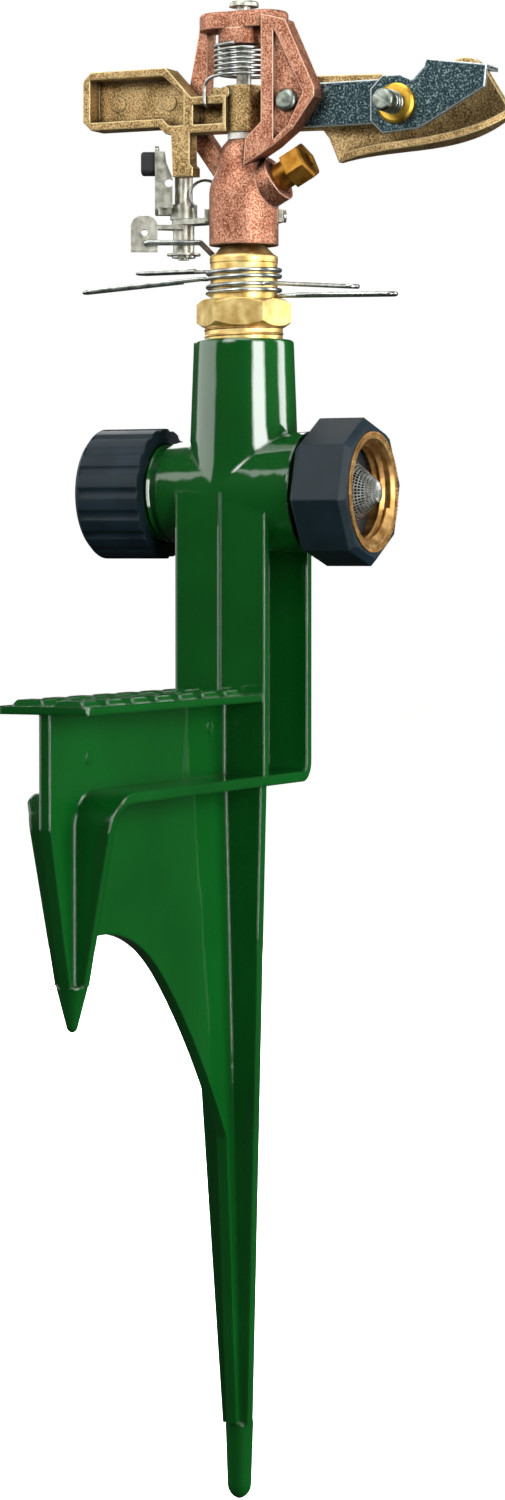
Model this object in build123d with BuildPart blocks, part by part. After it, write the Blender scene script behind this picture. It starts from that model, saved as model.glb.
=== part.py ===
"""Impact sprinkler on a cast step spike. Millimetres, +Z up, origin on the riser axis at the soil line.

X runs along the foot step (step towards -X), Y along the hose pipe (hose inlet towards -Y).
"""

import os
from math import cos, pi, radians, sin, sqrt

from build123d import *

os.makedirs("parts", exist_ok=True)

# Fits shared by all pieces
run_gap = 0.06  # radial play of a turning fit
seat_gap = 0.05  # play between pieces that sit on each other
clear = 0.35  # air between pieces that pass each other

# Step spike casting
riser_top = 119.2
socket_top_r = 13.5
socket_base_r = 15.0
socket_rim_r = 1.0
pipe_z = 78.1
pipe_bore_r = 8.5
pipe_outlet_r = 13.7
pipe_inlet_r = 16.4
pipe_outlet_y = 20.3
pipe_inlet_y = 20.5
outlet_thread_r = 12.4
outlet_end_y = 38.0
tail_r = 11.0
tail_length = 8.2
post_half = 15.0
flange_half = 13.2
flange_wall = 2.8
web_wall = 3.0
flange_corner_r = 4.0
spike_corner_r = 8.0
step_top = 24.5
step_end = 112.0
step_half = 12.8
step_wall = 2.0
step_corner_r = 1.4
tread_rise = 1.4
tread_length = 9.0
tread_width = 9.0
tread_pitch = 13.2
tread_rows = 7
short_spike_x = 98.0
short_spike_depth = 56.5
short_tip_r = 4.05
short_tip_length = 11.5
short_point_r = 1.4
short_point_rise = 1.2
short_fin_half = 11.8
arch_x = 86.5
arch_top = 33.5
arch_spread = 86.7
arch_mid_x = 45.5
arch_end_x = 13.9
spike_depth = 194.0
spike_top_x = 12.3
spike_tip_x = 2.8
spike_fin_half = 11.8
spike_fin_end_half = 3.7
spike_fin_wall = 3.4
spike_side_fin = 5.0
spike_tip_r = 3.8
spike_tip_length = 21.0
tip_flat = 0.4

# Brass bearing nipple
nipple_thread_r = 10.5
nipple_depth = 15.0
hex_across_flats = 22.2
hex_bottom = 122.7
hex_height = 7.3
hex_chamfer = 1.2
hex_turn = -10.8
sleeve_r = 9.05
sleeve_top = 139.8
nipple_bore_r = 6.9

# Turning tube that carries the head
tube_bore_r = 4.3
tube_collar_r = 9.2
tube_collar_height = 2.2
tube_collar_round = 0.9
tube_cone_top_r = 5.8
tube_neck_height = 2.6
tube_thread_length = 11.0
tube_thread_r = 5.6
tube_foot_r = 8.7
tube_foot_height = 2.2
washer_wall = 1.0

# Sprinkler body casting
barrel_r = 9.35
barrel_height = 19.7
neck_top_r = 5.6
neck_rise = 8.6
neck_round = 6.0
neck_waist = 1.8
post_inner = 1.9
post_outer = 7.5
cap_half = 12.6
cap_depth_half = 6.4
cap_wall = 4.6
cap_round = 1.2
window_top = 202.4
window_half = 8.6
elbow_reach = 24.1
elbow_z = 184.0
rear_reach = 22.4
rear_depth = 4.4
strut_boss_r = 2.0
strut_boss_y = 7.2
strut_boss_z = 167.4
strut_boss_stand = 2.6
panel_recess = 1.0
rivet_y = 15.8
rivet_z = 182.2
rivet_head_r = 3.0
rivet_shank_r = 1.6
rivet_head_height = 1.5
nozzle_angle = 28.0
nozzle_axis_z = 156.8
boss_r = 6.3
boss_reach = 11.8
nozzle_thread_r = 3.6
nozzle_barrel_r = 3.9
nozzle_hex_flats = 9.4
nozzle_hex_length = 6.0
nozzle_barrel_length = 3.0
nozzle_thread_length = 7.0
nozzle_bore_r = 2.0
nozzle_neck = 1.0
nozzle_turn = 20.0

# Fulcrum pin, arm hub and torsion spring
pin_r = 2.0
pin_head_r = 4.0
pin_head_height = 1.4
pin_stand = 1.6
pin_socket_depth = 9.0
hub_height = 12.5
hub_r = 5.0
bush_wall = 0.9
arm_washer_r = 4.4
arm_washer_wall = 1.8
spring_wire = 0.9
spring_coil_r = 7.75
spring_pitch = 1.36
spring_turns = 6
spring_bottom = 190.0
hook_y = 8.6
hook_top = 186.2
hook_reach = 1.7
hook_bend_r = 0.9
spring_spigot = 4.2
spigot_r = 6.9

# Impact arm casting
arm_face = 6.0
arm_back = 1.5
weight_end = 45.8
weight_top = 192.8
weight_bottom = 177.0
weight_slope_start = 20.6
weight_slope_end = 13.0
weight_chamfer = 2.4
rail_start = 2.6
lug_r = 1.5
lug_length = 1.6
lug_inset = 0.4
lug_z = 185.4
lug_near_y = 3.2
lug_far_y = 6.0
rail_top = 184.6
rail_bottom = 175.0
rim_wall = 2.1
pan_floor = 2.0
leg_front = 13.4
leg_back = 19.0
leg_bottom = 163.4
leg_wall = 4.6
beam_wall = 3.0
beam_top = 189.2
beam_bottom = 166.0
beam_root = 27.0
spoon_end = 74.0
spoon_tip_z = 177.3
spoon_sweep = 9.4
spoon_root_x = 3.6
spoon_mid_x = 8.2
spoon_mid_y = 53.0
spoon_wall = 2.6
spoon_lip = 9.5
spoon_lip_wall = 2.0
dome_y = 61.5
dome_z = 192.6

# Deflector
plate_wall = 1.2
bracket_top = 186.9
bracket_bottom = 175.2
bracket_end = 50.0
bracket_start = 11.0
bracket_chamfer = 3.2
flap_pivot_y = 46.1
flap_pivot_z = 180.1
flap_half = 7.6
flap_chamfer = 3.4
flap_tip_y = 71.4
flap_tip_top = 189.0
flap_tip_bottom = 183.3
flap_neck_y = 53.8
flap_neck_top = 191.4
tab_width = 8.4
screw_r = 1.9
screw_head_r = 2.95
screw_head_height = 2.6
screw_nut_r = 3.4
screw_nut_height = 2.0
slot_width = 0.8
slot_depth = 0.9
slot_turn = 35.0
collar_r = 5.3
collar_height = 1.6
friction_wire = 0.7
friction_coil_r = 2.75
friction_room = 5.7
friction_turns = 3

# Part-circle trip
trip_x = 3.0
trip_y = 19.6
trip_turn = 25.5
trip_pin_r = 1.5
trip_tube_r = 2.45
trip_tube_length = 14.5
trip_pin_head_r = 2.6
trip_pin_head = 1.2
trip_pin_bottom = 141.6
yoke_bottom = 151.0
yoke_height = 3.4
yoke_wall = 1.2
yoke_lap = 0.8
yoke_rivet_turn = -54.5
yoke_rivet_depth = 2.0
tongue_wall = 1.5
tongue_half = 3.2
yoke_rivet_r = 1.0
yoke_rivet_head_r = 1.7
yoke_rivet_head = 0.8
lever_hub_r = 2.9
lever_hub_height = 7.5
lever_reach = 14.3
lever_plate_x = -3.6
lever_plate_width = 7.3
lever_plate_top = 153.4
lever_plate_rise = 9.8
lever_wall = 1.2
rod_r = 0.75
rod_x = -4.6
rod_z = 146.0
rod_reach = 10.2
plate_hole_r = 0.9
plate_hole_reach = 10.6
plate_hole_z = 148.9
rod_back = 4.6
rod_drop = 3.4
rod_bend_r = 0.9
hammer_hub_r = 3.7
hammer_hub_height = 4.0
hammer_reach = 7.2
hammer_width = 8.4
hammer_foot = 153.8
hammer_rise = 18.4
hammer_shift = 1.1
hammer_round = 1.6
hammer_wall = 1.0
hammer_cheek = 4.3
hammer_hole_y = 3.9
hammer_hole_z = 162.1
hammer_hole_r = 1.1
bumper_z = 167.6
bumper_peg_r = 1.2
bumper_round = 1.4
bumper_wall = 3.8
bumper_height = 6.2
bumper_width = 6.4
toggle_wire = 0.8
toggle_r = 4.2
toggle_x = -3.15
toggle_near = -3.3
toggle_far = -8.7
toggle_mid = -5.9
toggle_z = 158.8
toggle_knee = 1.6
clip_r = 3.2
trip_washer_r = 4.6
clip_wall = 0.6

# Trip collars
collar_wire = 1.2
collar_pitch = 1.62
finger_reach = 43.0
finger_half = 1.9
finger_bend = 10.5
finger_root = 2.2
finger_free = 25.0
upper_start = 115.5
upper_end = 65.0 + 720.0
upper_bottom = 135.6
upper_start_drop = 3.2
upper_end_drop = -1.0
lower_start = -82.5
lower_end = -114.5 + 720.0
lower_bottom = 130.95
lower_start_drop = 0.3
lower_end_drop = 2.4

# Hose inlet coupling
coupling_start = 22.0
coupling_end = 38.0
coupling_corner_r = 19.85
coupling_turn = 97.0
coupling_chamfer = 1.6
coupling_back_wall = 3.4
insert_r = 16.0
insert_bore_r = 13.3
insert_proud = 0.3
insert_mouth = 0.9
clip_ring_wall = 1.2
clip_ring_depth = 0.9
clip_ring_rise = 1.3
washer_bore_r = 8.8
inlet_washer_wall = 2.8
screen_wall = 0.5
screen_flange_r = 12.0
screen_base_r = 8.6
screen_tip_r = 2.6
screen_length = 8.4

# Outlet cap
cap_start = 23.6
cap_r = 17.7
cap_bore_gap = 1.3
cap_end_wall = 2.4
cap_flutes = 18
cap_flute_r = 2.2
cap_flute_out = 1.6
cap_chamfer = 1.4
cap_washer_wall = 2.4

# Heights and places worked out from the sizes above
step_under = step_top - step_wall
hex_top = hex_bottom + hex_height
nipple_foot = riser_top - nipple_depth
collar_bottom = sleeve_top + seat_gap
barrel_bottom = collar_bottom + tube_collar_height + tube_neck_height
barrel_top = barrel_bottom + barrel_height
neck_top = barrel_top + neck_rise
cap_top = window_top + cap_wall
hub_bottom = neck_top + arm_washer_wall + 2 * seat_gap
hub_top = hub_bottom + hub_height
foot_top = nipple_foot - 2 * washer_wall - 3 * seat_gap
foot_bottom = foot_top - tube_foot_height
tail_end = pipe_inlet_y + tail_length
plate_face = -post_inner
flap_face = plate_face - plate_wall - seat_gap
beam_face = plate_face + plate_wall + clear
pipe_axis = Axis((0, 0, pipe_z), (0, 1, 0))


def biarc(start, start_way, end, end_way):
    """Two arcs that leave start along start_way and reach end along end_way."""
    p0, p1 = Vector(*start), Vector(*end)
    t0, t1 = Vector(*start_way).normalized(), Vector(*end_way).normalized()
    across = p1 - p0
    both = t0 + t1
    turn = 2 * (1 - t0.dot(t1))
    if turn > 1e-6:
        reach = (sqrt(across.dot(both) ** 2 + turn * across.dot(across)) - across.dot(both)) / turn
    else:
        reach = across.dot(across) / (2 * across.dot(both))
    corner_0, corner_1 = p0 + t0 * reach, p1 - t1 * reach
    middle = (corner_0 + corner_1) * 0.5
    TangentArc(p0, middle, tangent=t0)
    TangentArc(middle, p1, tangent=(corner_1 - corner_0))


def helix_point(radius, pitch, quarter, start_z, phase=0.0, frame=Plane.XY):
    """Place and direction on a coil about the frame's Z, counted in quarter turns."""
    angle = phase + quarter * pi / 2
    place = frame.from_local_coords((radius * cos(angle), radius * sin(angle), start_z + pitch * quarter / 4))
    turned = (-radius * sin(angle), radius * cos(angle), pitch / (2 * pi))
    way = frame.from_local_coords(turned) - frame.origin
    return place, way


def print_self_gap(name, wire, diameter, samples=420):
    """Least air between stretches of one wire that are more than four diameters apart along it."""
    points = [wire @ (i / samples) for i in range(samples + 1)]
    apart = int(4 * diameter * samples / wire.length) + 1
    least = min(
        (points[i] - points[j]).length
        for i in range(samples + 1)
        for j in range(i + apart, samples + 1)
    )
    print(f"{name}: least gap to itself {least - diameter:.2f} mm")


def finish(piece, name):
    """Label a piece and write it."""
    piece.part.label = name
    export_step(piece.part, f"parts/{name}.step")


# Step spike: one casting with riser socket, hose pipe, I-beam post, foot step and two spikes
arch_end_z = -arch_top - (arch_x - arch_end_x) ** 2 / arch_spread
arch_mid_z = -arch_top - (arch_x - arch_mid_x) ** 2 / arch_spread
spike_root_z = -spike_depth + spike_tip_length
lean = Vector(spike_top_x - spike_tip_x, 0, -spike_depth).normalized()
lean_plane = Plane(origin=(-spike_top_x, 0, 0), x_dir=(0, 1, 0), z_dir=(-lean.Z, 0, lean.X))
spike_length = sqrt(spike_depth**2 + (spike_top_x - spike_tip_x) ** 2)
root_x = -spike_top_x + lean.X / -lean.Z * -spike_root_z
short_root_z = -short_spike_depth + short_tip_length

with BuildPart() as step_spike:
    # web of post, step and spikes
    with BuildSketch(Plane.XZ):
        with BuildLine():
            Polyline(
                (post_half - flange_wall / 2, pipe_z),
                (post_half - flange_wall / 2, flange_wall / 2),
                (spike_side_fin, flange_wall / 2),
                (root_x + spike_side_fin, spike_root_z),
                (root_x - spike_side_fin * 0.8, spike_root_z),
                (-arch_end_x, arch_end_z),
            )
            arch = Spline(
                (-arch_end_x, arch_end_z),
                (-arch_mid_x, arch_mid_z),
                (-arch_x, -arch_top),
                tangents=((-arch_spread, 2 * (arch_x - arch_end_x)), (-1, 0)),
            )
            TangentArc(arch @ 1, (-short_spike_x + short_tip_r, short_root_z), tangent=arch % 1)
            Polyline(
                (-short_spike_x + short_tip_r, short_root_z),
                (-short_spike_x - short_tip_r, short_root_z),
                (-step_end, -2 * flange_wall),
                (-step_end, step_under),
                (-post_half, step_under),
                (-post_half, pipe_z),
                (post_half - flange_wall / 2, pipe_z),
            )
        make_face()
    extrude(amount=web_wall / 2, both=True)
    # flange that runs down the post, along the step and down the short spike
    with BuildSketch(Plane.XZ):
        with BuildLine():
            FilletPolyline(
                (post_half - flange_wall / 2, pipe_z),
                (post_half - flange_wall / 2, flange_wall / 2),
                (-short_spike_x, flange_wall / 2),
                (-short_spike_x, short_root_z),
                radius=[flange_corner_r, spike_corner_r],
            )
        trace(line_width=flange_wall)
    extrude(amount=flange_half, both=True)
    # short spike fin narrows towards its tip
    with BuildSketch(Plane.YZ.offset(-short_spike_x - flange_wall)):
        with BuildLine():
            Polyline(
                (short_fin_half + 1.4, 0),
                (short_fin_half, -flange_wall),
                (short_tip_r, short_root_z),
                (flange_half + 1, short_root_z),
                (flange_half + 1, 0),
                close=True,
            )
        make_face()
        mirror(about=Plane.YZ)
    extrude(amount=spike_corner_r + 2 * flange_wall, mode=Mode.SUBTRACT)
    # front flange of the post and the step plate
    with Locations((-post_half + flange_wall / 2, 0, pipe_z / 2)):
        Box(flange_wall, 2 * flange_half, pipe_z)
    with BuildSketch(Plane.XY.offset(step_under)) as step_plan:
        with Locations((-(step_end + post_half) / 2, 0)):
            Rectangle(step_end - post_half + flange_wall, 2 * step_half)
        fillet(step_plan.vertices().group_by(Axis.X)[0], radius=step_corner_r)
    extrude(amount=step_wall)
    # staggered treads with sloping sides
    for row in range(tread_rows):
        for side in (-1, 1):
            tread_x = -step_end + tread_length / 2 + row * tread_pitch + (side > 0) * tread_pitch / 4
            with BuildSketch(Plane.XY.offset(step_top)):
                with Locations((tread_x, side * step_half / 2)):
                    Rectangle(tread_length, tread_width)
            extrude(amount=tread_rise, taper=35)
    # main spike fin across the web
    with BuildSketch(lean_plane):
        with BuildLine():
            Polyline(
                (-spike_fin_half, 0),
                (-spike_fin_end_half, spike_tip_length - spike_length),
                (spike_fin_end_half, spike_tip_length - spike_length),
                (spike_fin_half, 0),
                close=True,
            )
        make_face()
    extrude(amount=spike_fin_wall / 2, both=True)
    # rounded tips
    with BuildSketch(Plane.XZ):
        with BuildLine():
            Line((-spike_tip_x, -spike_depth), (-spike_tip_x, spike_root_z))
            tip_side = Line((-spike_tip_x, spike_root_z), (-spike_tip_x + spike_tip_r, spike_root_z))
            tip_edge = Line(tip_side @ 1, (-spike_tip_x + spike_tip_r * 0.85, -spike_depth + spike_tip_r))
            tip_round = TangentArc(
                tip_edge @ 1, (-spike_tip_x + tip_flat, -spike_depth), tangent=tip_edge % 1
            )
            Line(tip_round @ 1, (-spike_tip_x, -spike_depth))
        make_face()
    revolve(axis=Axis((-spike_tip_x, 0, 0), (0, 0, 1)))
    with BuildSketch(Plane.XZ):
        with BuildLine():
            Line((-short_spike_x, -short_spike_depth), (-short_spike_x, short_root_z))
            short_side = Line((-short_spike_x, short_root_z), (-short_spike_x + short_tip_r, short_root_z))
            short_edge = Line(
                short_side @ 1, (-short_spike_x + short_point_r, -short_spike_depth + short_point_rise)
            )
            short_round = TangentArc(
                short_edge @ 1, (-short_spike_x + tip_flat, -short_spike_depth), tangent=short_edge % 1
            )
            Line(short_round @ 1, (-short_spike_x, -short_spike_depth))
        make_face()
    revolve(axis=Axis((-short_spike_x, 0, 0), (0, 0, 1)))
    # tapered riser socket and hose pipe
    with BuildSketch(Plane.XZ):
        with BuildLine():
            socket_floor = Polyline((0, riser_top), (0, pipe_z), (socket_base_r, pipe_z))
            socket_side = Line(socket_floor @ 1, (socket_top_r, riser_top - socket_rim_r))
            socket_rim = RadiusArc(
                socket_side @ 1, (socket_top_r - socket_rim_r, riser_top), -socket_rim_r
            )
            Line(socket_rim @ 1, (0, riser_top))
        make_face()
    revolve(axis=Axis.Z)
    with BuildSketch(Plane.YZ):
        with BuildLine():
            Polyline(
                (-tail_end, pipe_z),
                (-tail_end, pipe_z + tail_r),
                (-pipe_inlet_y, pipe_z + tail_r),
                (-pipe_inlet_y, pipe_z + pipe_inlet_r),
                (pipe_outlet_y, pipe_z + pipe_outlet_r),
                (pipe_outlet_y, pipe_z + outlet_thread_r),
                (outlet_end_y, pipe_z + outlet_thread_r),
                (outlet_end_y, pipe_z),
                close=True,
            )
        make_face()
    revolve(axis=pipe_axis)
    # water way, riser bore and the groove of the coupling clip
    with Locations(Location((0, 0, pipe_z), (90, 0, 0))):
        Cylinder(pipe_bore_r, 4 * outlet_end_y, mode=Mode.SUBTRACT)
    with Locations((0, 0, riser_top)):
        Cylinder(
            nipple_thread_r + seat_gap,
            riser_top - foot_bottom + clear,
            align=(Align.CENTER, Align.CENTER, Align.MAX),
            mode=Mode.SUBTRACT,
        )
        Cylinder(
            pipe_bore_r,
            riser_top - pipe_z,
            align=(Align.CENTER, Align.CENTER, Align.MAX),
            mode=Mode.SUBTRACT,
        )
    clip_y = coupling_start + coupling_back_wall + seat_gap
    with BuildSketch(Plane.YZ):
        with BuildLine():
            Polyline(
                (-clip_y + seat_gap, pipe_z + tail_r - clip_ring_depth - seat_gap),
                (-clip_y + seat_gap, pipe_z + tail_r + 1),
                (-clip_y - clip_ring_wall - seat_gap, pipe_z + tail_r + 1),
                (-clip_y - clip_ring_wall - seat_gap, pipe_z + tail_r - clip_ring_depth - seat_gap),
                close=True,
            )
        make_face()
    revolve(axis=pipe_axis, mode=Mode.SUBTRACT)
finish(step_spike, "step_spike")

# Bearing nipple: pipe thread, hex and the smooth sleeve that the trip collars grip
with BuildPart() as bearing_nipple:
    with BuildSketch(Plane.XY.offset(hex_bottom)):
        RegularPolygon(hex_across_flats / 2, 6, major_radius=False, rotation=hex_turn)
    extrude(amount=hex_height)
    with BuildSketch(Plane.XZ):
        with BuildLine():
            Polyline(
                (0, hex_bottom),
                (hex_across_flats / 2, hex_bottom),
                (hex_across_flats / sqrt(3), hex_bottom + hex_chamfer),
                (hex_across_flats / sqrt(3), hex_top - hex_chamfer),
                (hex_across_flats / 2, hex_top),
                (0, hex_top),
                close=True,
            )
        make_face()
    revolve(axis=Axis.Z, mode=Mode.INTERSECT)
    with Locations((0, 0, nipple_foot)):
        Cylinder(nipple_thread_r, hex_bottom - nipple_foot, align=(Align.CENTER, Align.CENTER, Align.MIN))
    with Locations((0, 0, hex_top)):
        Cylinder(sleeve_r, sleeve_top - hex_top, align=(Align.CENTER, Align.CENTER, Align.MIN))
    with Locations((0, 0, nipple_foot)):
        Cylinder(
            nipple_bore_r,
            sleeve_top - nipple_foot,
            align=(Align.CENTER, Align.CENTER, Align.MIN),
            mode=Mode.SUBTRACT,
        )
finish(bearing_nipple, "bearing_nipple")

# Two thrust washers between the nipple and the foot of the turning tube
with BuildPart() as thrust_washers:
    for level in range(2):
        washer_top = nipple_foot - seat_gap - level * (washer_wall + seat_gap)
        with BuildSketch(Plane.XY.offset(washer_top - washer_wall)):
            Circle(tube_foot_r)
            Circle(nipple_bore_r + run_gap, mode=Mode.SUBTRACT)
        extrude(amount=washer_wall)
finish(thrust_washers, "thrust_washers")

# Turning tube: foot, shaft in the nipple, collar, cone and the thread in the body
with BuildPart() as bearing_tube:
    tube_r = nipple_bore_r - run_gap
    collar_top = collar_bottom + tube_collar_height
    with BuildSketch(Plane.XZ):
        with BuildLine():
            Polyline(
                (tube_bore_r, foot_bottom),
                (tube_foot_r, foot_bottom),
                (tube_foot_r, foot_top),
                (tube_r, foot_top),
                (tube_r, collar_bottom),
                (tube_collar_r, collar_bottom),
                (tube_collar_r, collar_top - tube_collar_round),
            )
            RadiusArc(
                (tube_collar_r, collar_top - tube_collar_round),
                (tube_collar_r - tube_collar_round, collar_top),
                -tube_collar_round,
            )
            Polyline(
                (tube_collar_r - tube_collar_round, collar_top),
                (tube_cone_top_r, barrel_bottom - seat_gap),
                (tube_thread_r, barrel_bottom - seat_gap),
                (tube_thread_r, barrel_bottom + tube_thread_length),
                (tube_bore_r, barrel_bottom + tube_thread_length),
                (tube_bore_r, foot_bottom),
            )
        make_face()
    revolve(axis=Axis.Z)
finish(bearing_tube, "bearing_tube")

# Sprinkler body: barrel, nozzle boss and a bridge whose two posts let the arm pass
nozzle_way = Vector(0, -cos(radians(nozzle_angle)), sin(radians(nozzle_angle)))
nozzle_plane = Plane(origin=(0, 0, nozzle_axis_z), x_dir=(1, 0, 0), z_dir=nozzle_way)
boss_face = nozzle_plane.offset(boss_reach)
front_panel = Plane.YZ.offset(-post_outer)
rear_panel = Plane.YZ.offset(post_inner)
post_depth = post_outer - post_inner
spigot_bottom = window_top - spring_spigot
rivet_way = Vector(cos(radians(yoke_rivet_turn)), sin(radians(yoke_rivet_turn)), 0)
yoke_rivet_plane = Plane(origin=(0, 0, yoke_bottom + yoke_height / 2), x_dir=(0, 0, 1), z_dir=rivet_way)

with BuildPart() as sprinkler_body:
    with BuildSketch(Plane.XZ):
        with BuildLine():
            Polyline(
                (0, neck_top),
                (0, barrel_bottom),
                (barrel_r, barrel_bottom),
                (barrel_r, barrel_top - neck_round),
            )
            Spline(
                (barrel_r, barrel_top - neck_round),
                (barrel_r - neck_waist, barrel_top),
                (neck_top_r, neck_top - 1.4),
                tangents=((0, 1), (-0.5, 1)),
            )
            Polyline((neck_top_r, neck_top - 1.4), (neck_top_r - 1.3, neck_top), (0, neck_top))
        make_face()
    revolve(axis=Axis.Z)
    # bridge cap with the spring spigot below it
    with BuildSketch(Plane.XY.offset(window_top)):
        SlotOverall(2 * cap_half, 2 * cap_depth_half, rotation=90)
    extrude(amount=cap_wall)
    fillet(sprinkler_body.faces().sort_by(Axis.Z)[-1].edges(), radius=cap_round)
    with BuildSketch(Plane.XY.offset(spigot_bottom)):
        Circle(spigot_r)
    extrude(amount=spring_spigot)
    # nozzle boss
    with BuildSketch(nozzle_plane):
        Circle(boss_r)
    extrude(amount=boss_reach)
    # front post, a panel with an elbow, carrying the deflector
    with BuildSketch(front_panel):
        with BuildLine():
            Polyline(
                (-window_half, cap_top - cap_round - 0.4),
                (-cap_half - 3.0, cap_top - 3.4),
                (-elbow_reach, elbow_z + 1.2),
                (-elbow_reach, elbow_z - 1.2),
                (-elbow_reach + 6.2, elbow_z - 9.5),
                (-elbow_reach + 11.9, elbow_z - 13.8),
                (-barrel_r + 0.9, barrel_top + 3.7),
                (-neck_top_r + 2.2, barrel_top + 1.0),
                (-neck_top_r + 1.6, neck_top - 0.4),
                (-window_half, neck_top + 3.8),
                close=True,
            )
        make_face()
    extrude(amount=post_depth)
    # rear post: a panel that ends in a slim strut with a round foot on the neck
    with BuildSketch(rear_panel):
        with BuildLine():
            Polyline(
                (window_half + 2.6, cap_top - cap_round - 0.4),
                (cap_half + 1.6, cap_top - 3.4),
                (cap_half + 4.6, elbow_z + 4.4),
                (rear_reach, elbow_z + 4.4),
                (rear_reach, elbow_z - 0.6),
                (rear_reach - 4.6, elbow_z - 9.4),
                (barrel_r, barrel_top - 1.4),
                (neck_top_r - 0.4, barrel_top - 1.4),
                (neck_top_r - 0.8, barrel_top + 2.0),
                (strut_boss_y - 0.4, strut_boss_z + 0.8),
                (window_half + 4.4, elbow_z - 7.4),
                (window_half + 4.0, elbow_z - 2.0),
                close=True,
            )
        make_face()
    extrude(amount=rear_depth)
    with BuildSketch(rear_panel.offset(-strut_boss_stand)):
        with Locations((strut_boss_y, strut_boss_z)):
            Circle(strut_boss_r)
    extrude(amount=rear_depth)
    # recess in the front post
    with BuildSketch(front_panel):
        with BuildLine():
            Polyline(
                (-window_half - 3.6, cap_top - 5.4),
                (-elbow_reach + 3.2, elbow_z),
                (-elbow_reach + 7.6, elbow_z - 8.6),
                (-window_half - 3.6, elbow_z - 12.2),
                close=True,
            )
        make_face()
    extrude(amount=panel_recess, mode=Mode.SUBTRACT)
    with BuildSketch(yoke_rivet_plane.offset(barrel_r - yoke_rivet_depth)):
        Circle(yoke_rivet_r + seat_gap)
    extrude(amount=2 * yoke_rivet_depth, mode=Mode.SUBTRACT)
    # tube thread, water way, nozzle thread, fulcrum holes and rivet hole
    with Locations((0, 0, barrel_bottom)):
        Cylinder(
            tube_thread_r + seat_gap,
            tube_thread_length + seat_gap,
            align=(Align.CENTER, Align.CENTER, Align.MIN),
            mode=Mode.SUBTRACT,
        )
        Cylinder(
            tube_bore_r,
            tube_thread_length + tube_bore_r,
            align=(Align.CENTER, Align.CENTER, Align.MIN),
            mode=Mode.SUBTRACT,
        )
    with BuildSketch(boss_face):
        Circle(nozzle_thread_r + seat_gap)
    extrude(amount=-nozzle_thread_length, mode=Mode.SUBTRACT)
    with BuildSketch(nozzle_plane):
        Circle(nozzle_bore_r)
    extrude(amount=boss_reach, mode=Mode.SUBTRACT)
    with BuildSketch(Plane.XY.offset(neck_top - pin_socket_depth)):
        Circle(pin_r + seat_gap)
    extrude(amount=cap_top - neck_top + pin_socket_depth, mode=Mode.SUBTRACT)
    with BuildSketch(front_panel):
        with Locations((-rivet_y, rivet_z)):
            Circle(rivet_shank_r + seat_gap)
    extrude(amount=post_depth, mode=Mode.SUBTRACT)
finish(sprinkler_body, "sprinkler_body")

# Nozzle: thread in the boss, barrel and hex with a small bore
with BuildPart() as nozzle:
    with BuildSketch(boss_face.offset(-nozzle_thread_length + seat_gap)):
        Circle(nozzle_thread_r)
    extrude(amount=nozzle_thread_length + nozzle_neck)
    with BuildSketch(boss_face.offset(nozzle_neck)):
        Circle(nozzle_barrel_r)
    extrude(amount=nozzle_barrel_length)
    with BuildSketch(boss_face.offset(nozzle_neck + nozzle_barrel_length)):
        RegularPolygon(nozzle_hex_flats / 2, 6, major_radius=False, rotation=nozzle_turn)
    extrude(amount=nozzle_hex_length)
    chamfer(nozzle.faces().sort_by(Axis(nozzle_plane.origin, nozzle_way))[-1].edges(), length=0.6)
    with BuildSketch(boss_face.offset(-nozzle_thread_length)):
        Circle(nozzle_bore_r)
    nozzle_length = nozzle_thread_length + nozzle_neck + nozzle_barrel_length + nozzle_hex_length
    extrude(amount=nozzle_length, mode=Mode.SUBTRACT)
finish(nozzle, "nozzle")

# Fulcrum pin through the bridge cap, the arm hub and the neck
with BuildPart() as fulcrum_pin:
    pin_bottom = neck_top - pin_socket_depth + seat_gap
    with BuildSketch(Plane.XY.offset(pin_bottom)):
        Circle(pin_r)
    extrude(amount=cap_top + pin_stand - pin_bottom)
    with BuildSketch(Plane.XY.offset(cap_top + pin_stand)):
        Circle(pin_head_r)
    extrude(amount=pin_head_height)
    fillet(fulcrum_pin.faces().sort_by(Axis.Z)[-1].edges(), radius=pin_head_height * 0.45)
finish(fulcrum_pin, "fulcrum_pin")

# Washer that the arm hub turns on
with BuildPart() as arm_washer:
    with BuildSketch(Plane.XY.offset(neck_top + seat_gap)):
        Circle(arm_washer_r)
        Circle(pin_r + run_gap, mode=Mode.SUBTRACT)
    extrude(amount=arm_washer_wall)
finish(arm_washer, "arm_washer")

# Bush pressed in the arm hub
bush_r = pin_r + run_gap + bush_wall
with BuildPart() as arm_bush:
    with BuildSketch(Plane.XY.offset(hub_bottom)):
        Circle(bush_r)
        Circle(pin_r + run_gap, mode=Mode.SUBTRACT)
    extrude(amount=hub_height)
finish(arm_bush, "arm_bush")

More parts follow.
